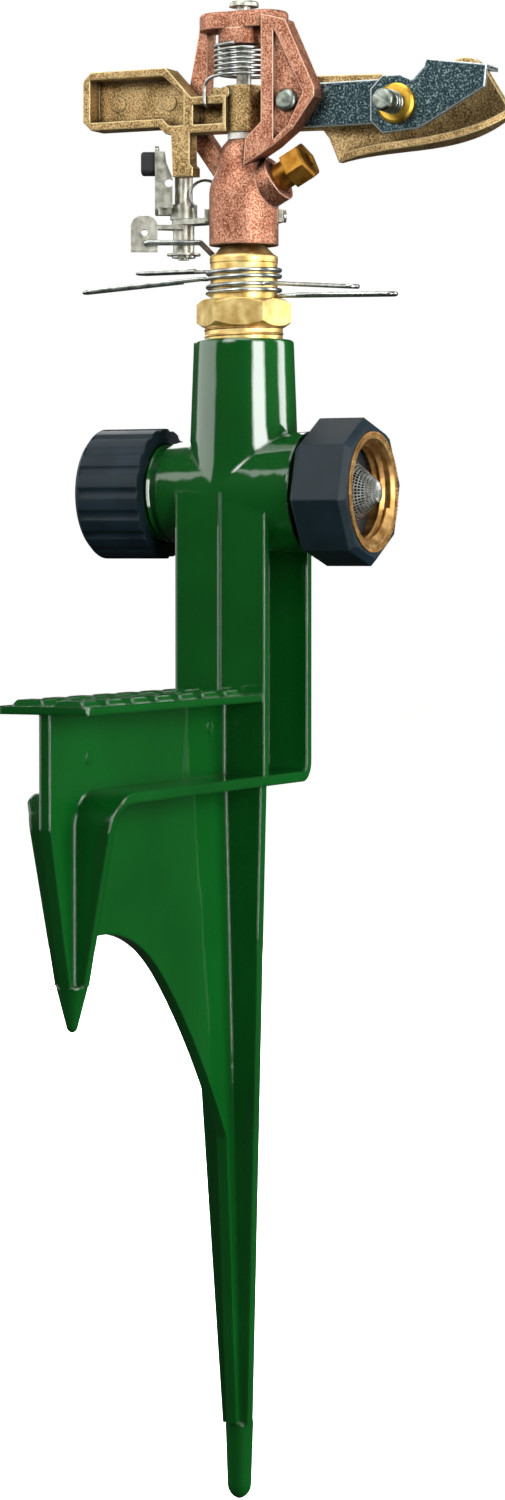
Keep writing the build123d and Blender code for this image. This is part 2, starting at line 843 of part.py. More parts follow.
# Lower lip of the spoon, kept apart because it is trimmed on its own
spoon_line = [
    (beam_face + beam_wall / 2, -hub_r * 0.2),
    (spoon_root_x, -beam_root),
    (spoon_mid_x, -spoon_mid_y),
    (spoon_sweep, -spoon_end),
]
lip_curve = [
    (-beam_root, beam_bottom),
    (-0.62 * spoon_end, beam_bottom + 2.6),
    (-0.84 * spoon_end, beam_bottom + 5.2),
    (-spoon_end, spoon_tip_z),
]
with BuildPart() as spoon_lip_part:
    with BuildSketch(Plane.XY.offset(beam_bottom - spoon_lip_wall)):
        with BuildLine():
            wall_side = Spline(*spoon_line)
            Spline(
                wall_side @ 1,
                (spoon_sweep - spoon_lip * 0.55, -0.9 * spoon_end),
                (spoon_sweep - spoon_lip, -0.68 * spoon_end),
                (spoon_root_x - 0.8, -beam_root),
            )
            Polyline((spoon_root_x - 0.8, -beam_root), (beam_face, -hub_r * 0.2), wall_side @ 0)
        make_face()
    extrude(amount=spoon_tip_z - beam_bottom + 3 * spoon_lip_wall)
    with BuildSketch(Plane.YZ):
        with BuildLine():
            low_edge = Spline(*lip_curve)
            up_edge = Spline(*[(y, z + spoon_lip_wall) for y, z in lip_curve])
            Line(low_edge @ 0, up_edge @ 0)
            Line(low_edge @ 1, up_edge @ 1)
        make_face()
    extrude(amount=3 * spoon_sweep, both=True, mode=Mode.INTERSECT)

# Impact arm: spoon, hub, weight with its recessed pan, and the leg that strikes the trip
with BuildPart() as impact_arm:
    with BuildSketch(Plane.XY.offset(leg_bottom)):
        with BuildLine():
            Spline(*spoon_line)
        trace(line_width=spoon_wall)
    extrude(amount=dome_z - leg_bottom)
    with BuildSketch(Plane.YZ):
        with BuildLine():
            Polyline(
                (0, hub_bottom),
                (-beam_root + 4.4, hub_bottom),
                (-beam_root + 2.6, hub_bottom - 2.4),
                lip_curve[0],
            )
            Spline(*lip_curve)
            Polyline(lip_curve[-1], (-dome_y - 5.6, dome_z - 4.2))
            Spline(
                (-dome_y - 5.6, dome_z - 4.2),
                (-dome_y, dome_z),
                (-dome_y + 9.0, dome_z - 3.0),
                (-dome_y + 21.0, beam_top - 1.0),
            )
            Polyline(
                (-dome_y + 21.0, beam_top - 1.0),
                (-dome_y + 23.0, beam_top),
                (-beam_root + 6.0, beam_top),
                (-beam_root + 9.0, hub_top - 1.0),
                (0, hub_top - 1.0),
                (0, hub_bottom),
            )
        make_face()
    extrude(amount=3 * spoon_sweep, both=True, mode=Mode.INTERSECT)
    add(spoon_lip_part.part)
    # weight and rails
    with BuildSketch(Plane.YZ.offset(-arm_face)):
        with BuildLine():
            Polyline(
                (rail_start, rail_bottom),
                (rail_start, rail_top),
                (weight_slope_end, rail_top),
                (weight_slope_start, weight_top),
                (weight_end - weight_chamfer, weight_top),
                (weight_end, weight_top - weight_chamfer),
                (weight_end, weight_bottom + weight_chamfer),
                (weight_end - weight_chamfer, weight_bottom),
                (weight_slope_start + 2.0, weight_bottom),
                (weight_slope_start, rail_bottom),
                close=True,
            )
        make_face()
    extrude(amount=arm_face + arm_back)
    # recessed pan and the small pocket beside the hub
    with BuildSketch(Plane.YZ.offset(-arm_face)):
        with BuildLine():
            Polyline(
                (weight_slope_end + rim_wall, rail_bottom + rim_wall),
                (weight_slope_end + rim_wall, rail_top + rim_wall * 0.4),
                (weight_slope_start + rim_wall * 0.4, weight_top - rim_wall),
                (weight_end - rim_wall, weight_top - rim_wall),
                (weight_end - rim_wall, weight_bottom + rim_wall),
                (weight_slope_start + 1.0, weight_bottom + rim_wall),
                (weight_slope_start - 1.0, rail_bottom + rim_wall),
                close=True,
            )
        make_face()
    extrude(amount=arm_face + arm_back - pan_floor, mode=Mode.SUBTRACT)
    with BuildSketch(Plane.YZ.offset(-arm_face)):
        with BuildLine():
            Polyline(
                (rail_start + 0.8, rail_bottom + rim_wall),
                (rail_start + 0.8, rail_top - rim_wall),
                (weight_slope_end - 0.6, rail_top - rim_wall),
                (weight_slope_end - 0.6, rail_bottom + rim_wall),
                close=True,
            )
        make_face()
    extrude(amount=arm_face + arm_back - pan_floor, mode=Mode.SUBTRACT)
    # striking leg with its toe
    with BuildSketch(Plane.YZ.offset(-arm_face)):
        with BuildLine():
            Polyline(
                (leg_front, rail_bottom + 1.0),
                (leg_front, leg_bottom + 3.2),
                (leg_front - 0.9, leg_bottom + 2.4),
                (leg_front - 0.9, leg_bottom),
                (leg_back - 0.5, leg_bottom),
                (leg_back, rail_bottom + 1.0),
                close=True,
            )
        make_face()
    extrude(amount=leg_wall)
    # two cast lugs on the rail and the hub
    with BuildSketch(Plane.YZ.offset(-arm_face + lug_inset)):
        with Locations((lug_near_y, lug_z), (lug_far_y, lug_z)):
            Circle(lug_r)
    extrude(amount=lug_length)
    with BuildSketch(Plane.XY.offset(hub_bottom)):
        Circle(hub_r)
    extrude(amount=hub_height)
    with BuildSketch(Plane.XY.offset(hub_bottom)):
        Circle(bush_r + seat_gap)
    extrude(amount=hub_height, mode=Mode.SUBTRACT)
finish(impact_arm, "impact_arm")

# Torsion spring of the arm: hook under the rail, leg up its face, then a coil to the spigot
hook_x = -arm_face - spring_wire / 2 - seat_gap
hook_z = rail_top - rim_wall - spring_wire / 2 - seat_gap
with BuildPart() as arm_spring:
    with BuildLine() as arm_coil:
        FilletPolyline(
            (hook_x + hook_reach, hook_y, hook_z),
            (hook_x, hook_y, hook_z),
            (hook_x, hook_y, hook_top),
            radius=hook_bend_r,
        )
        coil_start = Vector(-spring_coil_r, spring_wire, spring_bottom)
        coil_place, coil_way = helix_point(spring_coil_r, spring_pitch, 1, spring_bottom, pi)
        biarc((hook_x, hook_y, hook_top), (0, 0, 1), coil_start, (0, -1, 0))
        biarc(coil_start, (0, -1, 0), coil_place, coil_way)
        for quarter in range(1, 4 * spring_turns):
            biarc(
                *helix_point(spring_coil_r, spring_pitch, quarter, spring_bottom, pi),
                *helix_point(spring_coil_r, spring_pitch, quarter + 1, spring_bottom, pi),
            )
        last, last_way = helix_point(spring_coil_r, spring_pitch, 4 * spring_turns, spring_bottom, pi)
        Line(last, last + last_way.normalized() * spring_wire)
    coil_path = arm_coil.wires()[0]
    with BuildSketch(Plane(origin=coil_path @ 0, z_dir=coil_path % 0)):
        Circle(spring_wire / 2)
    sweep(path=coil_path)
print_self_gap("arm_spring", coil_path, spring_wire)
finish(arm_spring, "arm_spring")

# Deflector bracket riveted behind the front post
bracket_face = Plane.YZ.offset(plate_face + seat_gap)
with BuildPart() as deflector_bracket:
    with BuildSketch(bracket_face) as bracket_outline:
        with BuildLine():
            Polyline(
                (-bracket_start, bracket_bottom),
                (-bracket_start, bracket_top),
                (-bracket_end + bracket_chamfer, bracket_top),
                (-bracket_end, bracket_top - bracket_chamfer),
                (-bracket_end, bracket_bottom + bracket_chamfer),
                (-bracket_end + bracket_chamfer, bracket_bottom),
                close=True,
            )
        make_face()
        fillet(bracket_outline.vertices(), radius=plate_wall)
        with Locations((-rivet_y, rivet_z)):
            Circle(rivet_shank_r + seat_gap, mode=Mode.SUBTRACT)
        with Locations((-flap_pivot_y, flap_pivot_z)):
            Circle(screw_r + seat_gap, mode=Mode.SUBTRACT)
    extrude(amount=plate_wall)
finish(deflector_bracket, "deflector_bracket")

# Rivet with a domed head in the recess of the post
rivet_head_x = -post_outer + panel_recess - seat_gap
with BuildPart() as deflector_rivet:
    with BuildSketch(Plane.YZ.offset(plate_face + seat_gap + plate_wall)):
        with Locations((-rivet_y, rivet_z)):
            Circle(rivet_shank_r)
    extrude(amount=rivet_head_x - plate_face - seat_gap - plate_wall)
    with BuildSketch(Plane.YZ.offset(rivet_head_x)):
        with Locations((-rivet_y, rivet_z)):
            Circle(rivet_head_r)
    extrude(amount=-rivet_head_height)
    fillet(deflector_rivet.faces().sort_by(Axis.X)[0].edges(), radius=rivet_head_height * 0.8)
finish(deflector_rivet, "deflector_rivet")

# Deflector flap: square end on the pivot, long tongue and a bent lid along its top edge
with BuildPart() as deflector_flap:
    with BuildSketch(Plane.YZ.offset(flap_face)) as flap_outline:
        with BuildLine():
            Polyline(
                (-flap_pivot_y + flap_half, flap_pivot_z + flap_half - flap_chamfer),
                (-flap_pivot_y + flap_half - flap_chamfer, flap_pivot_z + flap_half),
                (-flap_pivot_y - 1.0, flap_pivot_z + flap_half),
                (-flap_neck_y + 3.3, flap_pivot_z + flap_half - 1.6),
                (-flap_neck_y, flap_neck_top - 2.1),
                (-flap_neck_y - 0.6, flap_neck_top),
                (-flap_tip_y, flap_tip_top),
                (-flap_tip_y + 0.5, flap_tip_bottom),
                (-flap_neck_y - 1.0, flap_pivot_z - flap_half + 2.0),
                (-flap_neck_y + 2.2, flap_pivot_z - flap_half + 0.7),
                (-flap_pivot_y + flap_half - flap_chamfer, flap_pivot_z - flap_half),
                (-flap_pivot_y + flap_half, flap_pivot_z - flap_half + flap_chamfer),
                close=True,
            )
        make_face()
        fillet(flap_outline.vertices().group_by(Axis.X)[0], radius=plate_wall / 2)
        with Locations((-flap_pivot_y, flap_pivot_z)):
            Circle(screw_r + run_gap, mode=Mode.SUBTRACT)
    extrude(amount=plate_wall)
    with BuildSketch(Plane.YZ.offset(flap_face)):
        with BuildLine():
            Polyline(
                (-flap_neck_y - 0.6, flap_neck_top),
                (-flap_tip_y, flap_tip_top),
                (-flap_tip_y, flap_tip_top - plate_wall),
                (-flap_neck_y - 0.6, flap_neck_top - plate_wall),
                close=True,
            )
        make_face()
    extrude(amount=tab_width)
finish(deflector_flap, "deflector_flap")

# Pivot screw of the flap, its nut, cup washer and friction spring
pivot_plane = Plane(origin=(0, -flap_pivot_y, flap_pivot_z), x_dir=(0, 1, 0), z_dir=(1, 0, 0))
nut_x = plate_face + 2 * seat_gap + plate_wall
cup_x = flap_face - seat_gap - collar_height
screw_head_x = cup_x - friction_room - seat_gap
with BuildPart() as deflector_screw:
    with BuildSketch(pivot_plane.offset(screw_head_x)):
        Circle(screw_r)
    extrude(amount=nut_x + screw_nut_height - screw_head_x)
    with BuildSketch(pivot_plane.offset(screw_head_x - screw_head_height)):
        Circle(screw_head_r)
    extrude(amount=screw_head_height)
    fillet(deflector_screw.faces().sort_by(Axis.X)[0].edges(), radius=screw_head_height * 0.3)
    with BuildSketch(pivot_plane.offset(screw_head_x - screw_head_height)):
        Rectangle(2 * screw_head_r, slot_width, rotation=slot_turn)
    extrude(amount=slot_depth, mode=Mode.SUBTRACT)
finish(deflector_screw, "deflector_screw")

with BuildPart() as deflector_nut:
    with BuildSketch(pivot_plane.offset(nut_x)):
        RegularPolygon(screw_nut_r, 6)
        Circle(screw_r + seat_gap, mode=Mode.SUBTRACT)
    extrude(amount=screw_nut_height)
finish(deflector_nut, "deflector_nut")

with BuildPart() as deflector_collar:
    with BuildSketch(pivot_plane.offset(cup_x)):
        Circle(collar_r)
        Circle(screw_r + run_gap, mode=Mode.SUBTRACT)
    extrude(amount=collar_height)
    chamfer(deflector_collar.faces().sort_by(Axis.X)[0].outer_wire().edges(), length=collar_height * 0.4)
finish(deflector_collar, "deflector_collar")

friction_pitch = (friction_room - friction_wire - 2 * seat_gap) / friction_turns
with BuildPart() as deflector_spring:
    friction_start = screw_head_x + friction_wire / 2 + seat_gap
    with BuildLine() as friction_coil:
        first, first_way = helix_point(friction_coil_r, friction_pitch, 0, friction_start, 0, pivot_plane)
        Line(first - first_way.normalized() * friction_wire, first)
        for quarter in range(4 * friction_turns):
            biarc(
                *helix_point(friction_coil_r, friction_pitch, quarter, friction_start, 0, pivot_plane),
                *helix_point(friction_coil_r, friction_pitch, quarter + 1, friction_start, 0, pivot_plane),
            )
        last, last_way = helix_point(
            friction_coil_r, friction_pitch, 4 * friction_turns, friction_start, 0, pivot_plane
        )
        Line(last, last + last_way.normalized() * friction_wire)
    friction_path = friction_coil.wires()[0]
    with BuildSketch(Plane(origin=friction_path @ 0, z_dir=friction_path % 0)):
        Circle(friction_wire / 2)
    sweep(path=friction_path)
print_self_gap("deflector_spring", friction_path, friction_wire)
finish(deflector_spring, "deflector_spring")

# Trip: half band riveted round the back of the barrel, with a tongue that carries the trip post
trip_plane = Plane(
    origin=(trip_x, trip_y, 0), x_dir=(cos(radians(trip_turn)), sin(radians(trip_turn)), 0), z_dir=(0, 0, 1)
)
yoke_in_r = barrel_r + seat_gap
yoke_out_r = yoke_in_r + yoke_wall
tongue_top = yoke_bottom + tongue_wall
with BuildPart() as trip_yoke:
    with BuildSketch(Plane.XY.offset(yoke_bottom)):
        Circle(yoke_out_r)
        Circle(yoke_in_r, mode=Mode.SUBTRACT)
        with Locations(trip_plane.x_dir * (-yoke_out_r - yoke_lap)):
            Rectangle(2 * yoke_out_r, 4 * yoke_out_r, rotation=trip_turn, mode=Mode.SUBTRACT)
    extrude(amount=yoke_height)
    with BuildSketch(Plane.XY.offset(yoke_bottom)):
        with BuildLine():
            Line((0, 0), (trip_x, trip_y))
        trace(line_width=2 * tongue_half)
        with Locations((trip_x, trip_y)):
            Circle(tongue_half)
        Circle(yoke_in_r, mode=Mode.SUBTRACT)
        with Locations((trip_x, trip_y)):
            Circle(trip_pin_r + seat_gap, mode=Mode.SUBTRACT)
    extrude(amount=tongue_wall)
    with BuildSketch(yoke_rivet_plane):
        Circle(yoke_rivet_r + seat_gap)
    extrude(amount=2 * yoke_out_r, mode=Mode.SUBTRACT)
finish(trip_yoke, "trip_yoke")

with BuildPart() as yoke_rivet:
    with BuildSketch(yoke_rivet_plane.offset(barrel_r - yoke_rivet_depth + seat_gap)):
        Circle(yoke_rivet_r)
    extrude(amount=yoke_rivet_depth + yoke_wall + seat_gap)
    with BuildSketch(yoke_rivet_plane.offset(yoke_out_r + seat_gap)):
        Circle(yoke_rivet_head_r)
    extrude(amount=yoke_rivet_head)
finish(yoke_rivet, "yoke_rivet")

# Trip post: pin with a domed head and the tube that stands on the tongue
trip_tube_top = tongue_top + seat_gap + trip_tube_length
with BuildPart() as trip_tube:
    with BuildSketch(trip_plane.offset(tongue_top + seat_gap)):
        Circle(trip_tube_r)
        Circle(trip_pin_r + seat_gap, mode=Mode.SUBTRACT)
    extrude(amount=trip_tube_length)
finish(trip_tube, "trip_tube")

with BuildPart() as trip_pin:
    with BuildSketch(trip_plane.offset(trip_pin_bottom)):
        Circle(trip_pin_r)
    extrude(amount=trip_tube_top + seat_gap - trip_pin_bottom)
    with BuildSketch(trip_plane.offset(trip_tube_top + seat_gap)):
        Circle(trip_pin_head_r)
    extrude(amount=trip_pin_head)
    fillet(trip_pin.faces().sort_by(Axis.Z)[-1].edges(), radius=trip_pin_head * 0.6)
finish(trip_pin, "trip_pin")

# Trip lever under the tongue: hub, arm and the upright D-shaped plate
lever_top = yoke_bottom - seat_gap
lever_bottom = lever_top - lever_hub_height
plate_x = trip_plane.x_dir * lever_plate_x
lever_plane = Plane(origin=trip_plane.origin + plate_x, x_dir=trip_plane.y_dir, z_dir=trip_plane.x_dir)
lever_mid = lever_plate_top - lever_plate_rise / 2
with BuildPart() as trip_lever:
    with BuildSketch(trip_plane.offset(lever_bottom)):
        Circle(lever_hub_r)
    extrude(amount=lever_hub_height)
    with BuildSketch(trip_plane.offset(lever_top - lever_wall)):
        with BuildLine():
            Polyline(
                (lever_hub_r, 0),
                (lever_plate_x + lever_wall, lever_reach),
                (lever_plate_x, lever_reach),
                (lever_plate_x, 0),
                close=True,
            )
        make_face()
    extrude(amount=lever_wall)
    with BuildSketch(lever_plane) as lever_outline:
        with BuildLine():
            Polyline(
                (lever_reach - lever_plate_width, lever_mid + lever_plate_rise / 2),
                (lever_reach - lever_plate_width, lever_mid - lever_plate_rise / 2),
                (lever_reach, lever_mid - lever_plate_rise / 2),
                (lever_reach, lever_mid + lever_plate_rise / 2),
                close=True,
            )
        make_face()
        fillet(lever_outline.vertices().group_by(Axis.Y)[-1], radius=lever_plate_width * 0.4)
        with Locations((rod_reach, rod_z)):
            Circle(rod_r + seat_gap, mode=Mode.SUBTRACT)
        with Locations((plate_hole_reach, plate_hole_z)):
            Circle(plate_hole_r, mode=Mode.SUBTRACT)
    extrude(amount=lever_wall)
    with BuildSketch(trip_plane.offset(lever_bottom)):
        Circle(trip_pin_r + run_gap)
    extrude(amount=lever_hub_height, mode=Mode.SUBTRACT)
finish(trip_lever, "trip_lever")

with BuildPart() as trip_rod:
    with BuildLine() as rod_line:
        FilletPolyline(
            trip_plane.from_local_coords((lever_plate_x + lever_wall, rod_reach, rod_z)),
            trip_plane.from_local_coords((rod_x, rod_reach, rod_z)),
            trip_plane.from_local_coords((rod_x, -rod_back, rod_z)),
            trip_plane.from_local_coords((rod_x, -rod_back - rod_drop, rod_z - rod_drop)),
            radius=rod_bend_r,
        )
    rod_path = rod_line.wires()[0]
    with BuildSketch(Plane(origin=rod_path @ 0, z_dir=rod_path % 0)):
        Circle(rod_r)
    sweep(path=rod_path)
finish(trip_rod, "trip_rod")

with BuildPart() as trip_washer:
    with BuildSketch(trip_plane.offset(lever_bottom - seat_gap - clip_wall)):
        Circle(trip_washer_r)
        Circle(trip_pin_r + seat_gap, mode=Mode.SUBTRACT)
    extrude(amount=clip_wall)
finish(trip_washer, "trip_washer")

with BuildPart() as trip_clip:
    with BuildSketch(trip_plane.offset(lever_bottom - 2 * (seat_gap + clip_wall))):
        Circle(clip_r)
        Circle(trip_pin_r + seat_gap, mode=Mode.SUBTRACT)
        with Locations((-clip_r, 0)):
            Rectangle(2 * clip_r, trip_pin_r, mode=Mode.SUBTRACT)
    extrude(amount=clip_wall)
finish(trip_clip, "trip_clip")

# Trip hammer: hub on the post tube and an upright plate with a rubber bumper
hammer_bottom = tongue_top + seat_gap
hammer_plane = Plane(
    origin=trip_plane.origin + trip_plane.y_dir * (hammer_reach - hammer_wall / 2),
    x_dir=trip_plane.x_dir * -1,
    z_dir=trip_plane.y_dir,
)
cheek_x = -hammer_shift - hammer_width / 2
cheek_plane = Plane(
    origin=trip_plane.origin + trip_plane.x_dir * cheek_x, x_dir=trip_plane.y_dir, z_dir=trip_plane.x_dir
)
with BuildPart() as trip_hammer:
    with BuildSketch(hammer_plane):
        with Locations((hammer_shift, hammer_foot + hammer_rise / 2)):
            RectangleRounded(hammer_width, hammer_rise, hammer_round)
        with Locations((hammer_shift, bumper_z)):
            Circle(bumper_peg_r + seat_gap, mode=Mode.SUBTRACT)
    extrude(amount=hammer_wall)
    # cheek plate bent from the near edge, with a round hole
    with BuildSketch(cheek_plane):
        with BuildLine():
            Polyline(
                (hammer_reach, hammer_foot + hammer_round),
                (hammer_reach, hammer_foot + hammer_rise - hammer_round),
                (hammer_reach - 2.2, hammer_foot + hammer_rise - hammer_round),
                (hammer_reach - 2.6, hammer_foot + 0.75 * hammer_rise),
                (hammer_reach - hammer_cheek, hammer_foot + 0.52 * hammer_rise),
                (hammer_reach - hammer_cheek, hammer_foot + hammer_round),
                close=True,
            )
        make_face()
        with Locations((hammer_hole_y, hammer_hole_z)):
            Circle(hammer_hole_r, mode=Mode.SUBTRACT)
    extrude(amount=hammer_wall)
    with BuildSketch(trip_plane.offset(hammer_bottom)):
        Circle(hammer_hub_r)
    extrude(amount=hammer_hub_height)
    with BuildSketch(trip_plane.offset(hammer_foot)):
        with Locations((0, hammer_reach / 2)):
            Rectangle(hammer_hub_r, hammer_reach)
    extrude(amount=hammer_hub_height - hammer_foot + hammer_bottom)
    with BuildSketch(trip_plane.offset(hammer_bottom)):
        Circle(trip_tube_r + run_gap)
    extrude(amount=hammer_hub_height, mode=Mode.SUBTRACT)
finish(trip_hammer, "trip_hammer")

with BuildPart() as trip_bumper:
    with BuildSketch(hammer_plane.offset(hammer_wall + seat_gap)):
        with Locations((hammer_shift, bumper_z)):
            RectangleRounded(bumper_width, bumper_height, bumper_round)
    extrude(amount=bumper_wall)
    bumper_end = trip_bumper.faces().sort_by(Axis(trip_plane.origin, trip_plane.y_dir))[-1]
    fillet(bumper_end.edges(), radius=bumper_round * 0.6)
    with BuildSketch(hammer_plane):
        with Locations((hammer_shift, bumper_z)):
            Circle(bumper_peg_r)
    extrude(amount=hammer_wall + 2 * seat_gap)
finish(trip_bumper, "trip_bumper")

# Toggle spring: an open wire ring whose legs stand on the tongue
with BuildPart() as trip_spring:
    with BuildLine() as toggle_line:
        toggle_up = (0, 0, 1)
        near_foot = trip_plane.from_local_coords((toggle_x, toggle_near, tongue_top + seat_gap))
        near_knee = near_foot + Vector(0, 0, toggle_knee)
        far_foot = trip_plane.from_local_coords((toggle_x, toggle_far, tongue_top + seat_gap))
        far_knee = far_foot + Vector(0, 0, toggle_knee)
        ring_near = trip_plane.from_local_coords((toggle_x, toggle_mid + toggle_r, toggle_z))
        ring_top = trip_plane.from_local_coords((toggle_x, toggle_mid, toggle_z + toggle_r))
        ring_far = trip_plane.from_local_coords((toggle_x, toggle_mid - toggle_r, toggle_z))
        Line(near_foot, near_knee)
        biarc(near_knee, toggle_up, ring_near, toggle_up)
        TangentArc(ring_near, ring_top, tangent=toggle_up)
        TangentArc(ring_top, ring_far, tangent=trip_plane.y_dir * -1)
        biarc(ring_far, (0, 0, -1), far_knee, (0, 0, -1))
        Line(far_knee, far_foot)
    toggle_path = toggle_line.wires()[0]
    with BuildSketch(Plane(origin=toggle_path @ 0, z_dir=toggle_path % 0)):
        Circle(toggle_wire / 2)
    sweep(path=toggle_path)
print_self_gap("trip_spring", toggle_path, toggle_wire)
finish(trip_spring, "trip_spring")


def collar_wire_line(start_angle, end_angle, bottom, start_drop, end_drop):
    """Centre line of a trip collar: hairpin finger, close coil, hairpin finger."""
    coil_r = sleeve_r + run_gap + collar_wire / 2
    bend_angle = radians(finger_bend)
    turn = radians(end_angle - start_angle) - 2 * bend_angle
    phase = radians(start_angle) + bend_angle
    quarters = turn / (pi / 2)
    top = bottom + collar_pitch * quarters / 4
    out_0 = Vector(cos(radians(start_angle)), sin(radians(start_angle)), 0)
    out_1 = Vector(cos(radians(end_angle)), sin(radians(end_angle)), 0)
    side_0 = Vector(out_0.Y, -out_0.X, 0) * (2 * finger_half)
    side_1 = Vector(-out_1.Y, out_1.X, 0) * (2 * finger_half)
    inner = coil_r + finger_root
    outer = finger_reach - finger_half
    root_0 = out_0 * inner + Vector(0, 0, bottom)
    end_0 = out_0 * outer + Vector(0, 0, bottom - start_drop)
    root_1 = out_1 * inner + Vector(0, 0, top)
    end_1 = out_1 * outer + Vector(0, 0, top - end_drop)
    way_0 = (end_0 - root_0).normalized()
    way_1 = (end_1 - root_1).normalized()
    free_0 = end_0 + side_0 - way_0 * finger_free
    free_1 = end_1 + side_1 - way_1 * finger_free
    Line(free_0, end_0 + side_0)
    TangentArc(end_0 + side_0, end_0, tangent=way_0)
    Line(end_0, root_0)
    first, first_way = helix_point(coil_r, collar_pitch, 0, bottom, phase)
    biarc(root_0, way_0 * -1, first, first_way)
    for step in range(8):
        biarc(
            *helix_point(coil_r, collar_pitch, quarters * step / 8, bottom, phase),
            *helix_point(coil_r, collar_pitch, quarters * (step + 1) / 8, bottom, phase),
        )
    last, last_way = helix_point(coil_r, collar_pitch, quarters, bottom, phase)
    biarc(last, last_way, root_1, way_1)
    Line(root_1, end_1)
    TangentArc(end_1, end_1 + side_1, tangent=way_1)
    Line(end_1 + side_1, free_1)


# Two wire trip collars clipped round the sleeve
with BuildPart() as upper_trip_collar:
    with BuildLine() as upper_line:
        collar_wire_line(upper_start, upper_end, upper_bottom, upper_start_drop, upper_end_drop)
    upper_path = upper_line.wires()[0]
    with BuildSketch(Plane(origin=upper_path @ 0, z_dir=upper_path % 0)):
        Circle(collar_wire / 2)
    sweep(path=upper_path)
print_self_gap("upper_trip_collar", upper_path, collar_wire)
finish(upper_trip_collar, "upper_trip_collar")

with BuildPart() as lower_trip_collar:
    with BuildLine() as lower_line:
        collar_wire_line(lower_start, lower_end, lower_bottom, lower_start_drop, lower_end_drop)
    lower_path = lower_line.wires()[0]
    with BuildSketch(Plane(origin=lower_path @ 0, z_dir=lower_path % 0)):
        Circle(collar_wire / 2)
    sweep(path=lower_path)
print_self_gap("lower_trip_collar", lower_path, collar_wire)
finish(lower_trip_collar, "lower_trip_collar")

# Hose coupling: octagonal sleeve that turns on the tail of the pipe
inlet_plane = Plane(origin=(0, 0, pipe_z), x_dir=(1, 0, 0), z_dir=(0, -1, 0))
with BuildPart() as inlet_sleeve:
    with BuildSketch(inlet_plane.offset(coupling_start)):
        RegularPolygon(coupling_corner_r, 8, rotation=coupling_turn)
    extrude(amount=coupling_end - coupling_start)
    chamfer(inlet_sleeve.faces().sort_by(Axis.Y)[0].edges(), length=coupling_chamfer)
    chamfer(inlet_sleeve.faces().sort_by(Axis.Y)[-1].edges(), length=coupling_chamfer)
    with BuildSketch(inlet_plane.offset(coupling_start + coupling_back_wall)):
        Circle(insert_r + seat_gap)
    extrude(amount=coupling_end, mode=Mode.SUBTRACT)
    with BuildSketch(inlet_plane):
        Circle(tail_r + run_gap)
    extrude(amount=coupling_end, mode=Mode.SUBTRACT)
finish(inlet_sleeve, "inlet_sleeve")

# Clip ring in the groove of the tail
with BuildPart() as coupling_clip:
    with BuildSketch(inlet_plane.offset(clip_y)):
        Circle(tail_r + clip_ring_rise)
        Circle(tail_r - clip_ring_depth, mode=Mode.SUBTRACT)
        with Locations((0, tail_r)):
            Rectangle(tail_length, tail_r, mode=Mode.SUBTRACT)
    extrude(amount=clip_ring_wall)
finish(coupling_clip, "coupling_clip")

# Threaded brass insert with a rounded mouth
insert_start = clip_y + clip_ring_wall + clear
with BuildPart() as inlet_insert:
    with BuildSketch(inlet_plane.offset(insert_start)):
        Circle(insert_r)
        Circle(insert_bore_r, mode=Mode.SUBTRACT)
    extrude(amount=coupling_end + insert_proud - insert_start)
    chamfer(inlet_insert.faces().sort_by(Axis.Y)[0].inner_wires()[0].edges(), length=insert_mouth)
finish(inlet_insert, "inlet_insert")

washer_start = tail_end + seat_gap
with BuildPart() as inlet_washer:
    with BuildSketch(inlet_plane.offset(washer_start)):
        Circle(insert_bore_r - seat_gap)
        Circle(washer_bore_r, mode=Mode.SUBTRACT)
    extrude(amount=inlet_washer_wall)
finish(inlet_washer, "inlet_washer")

# Cone filter on a thin flange
screen_start = washer_start + inlet_washer_wall + seat_gap
screen_end = screen_start + screen_length
with BuildPart() as filter_screen:
    with BuildSketch(Plane.YZ):
        with BuildLine():
            Polyline(
                (-screen_end + screen_wall, pipe_z),
                (-screen_end + screen_wall, pipe_z + screen_tip_r - screen_wall),
                (-screen_start - screen_wall, pipe_z + screen_base_r - screen_wall),
                (-screen_start, pipe_z + screen_base_r - screen_wall),
                (-screen_start, pipe_z + screen_flange_r),
                (-screen_start - screen_wall, pipe_z + screen_flange_r),
                (-screen_start - screen_wall, pipe_z + screen_base_r),
                (-screen_end + screen_wall, pipe_z + screen_tip_r),
            )
            Polyline(
                (-screen_end + screen_wall, pipe_z + screen_tip_r),
                (-screen_end, pipe_z + screen_tip_r - screen_wall),
                (-screen_end, pipe_z),
                (-screen_end + screen_wall, pipe_z),
            )
        make_face()
    revolve(axis=pipe_axis)
finish(filter_screen, "filter_screen")

# Fluted screw cap on the outlet and its washer
outlet_plane = Plane(origin=(0, 0, pipe_z), x_dir=(-1, 0, 0), z_dir=(0, 1, 0))
cap_end = outlet_end_y + seat_gap + cap_washer_wall + seat_gap + cap_end_wall
with BuildPart() as cap_washer:
    with BuildSketch(outlet_plane.offset(outlet_end_y + seat_gap)):
        Circle(outlet_thread_r + cap_bore_gap - seat_gap)
        Circle(pipe_bore_r, mode=Mode.SUBTRACT)
    extrude(amount=cap_washer_wall)
finish(cap_washer, "cap_washer")

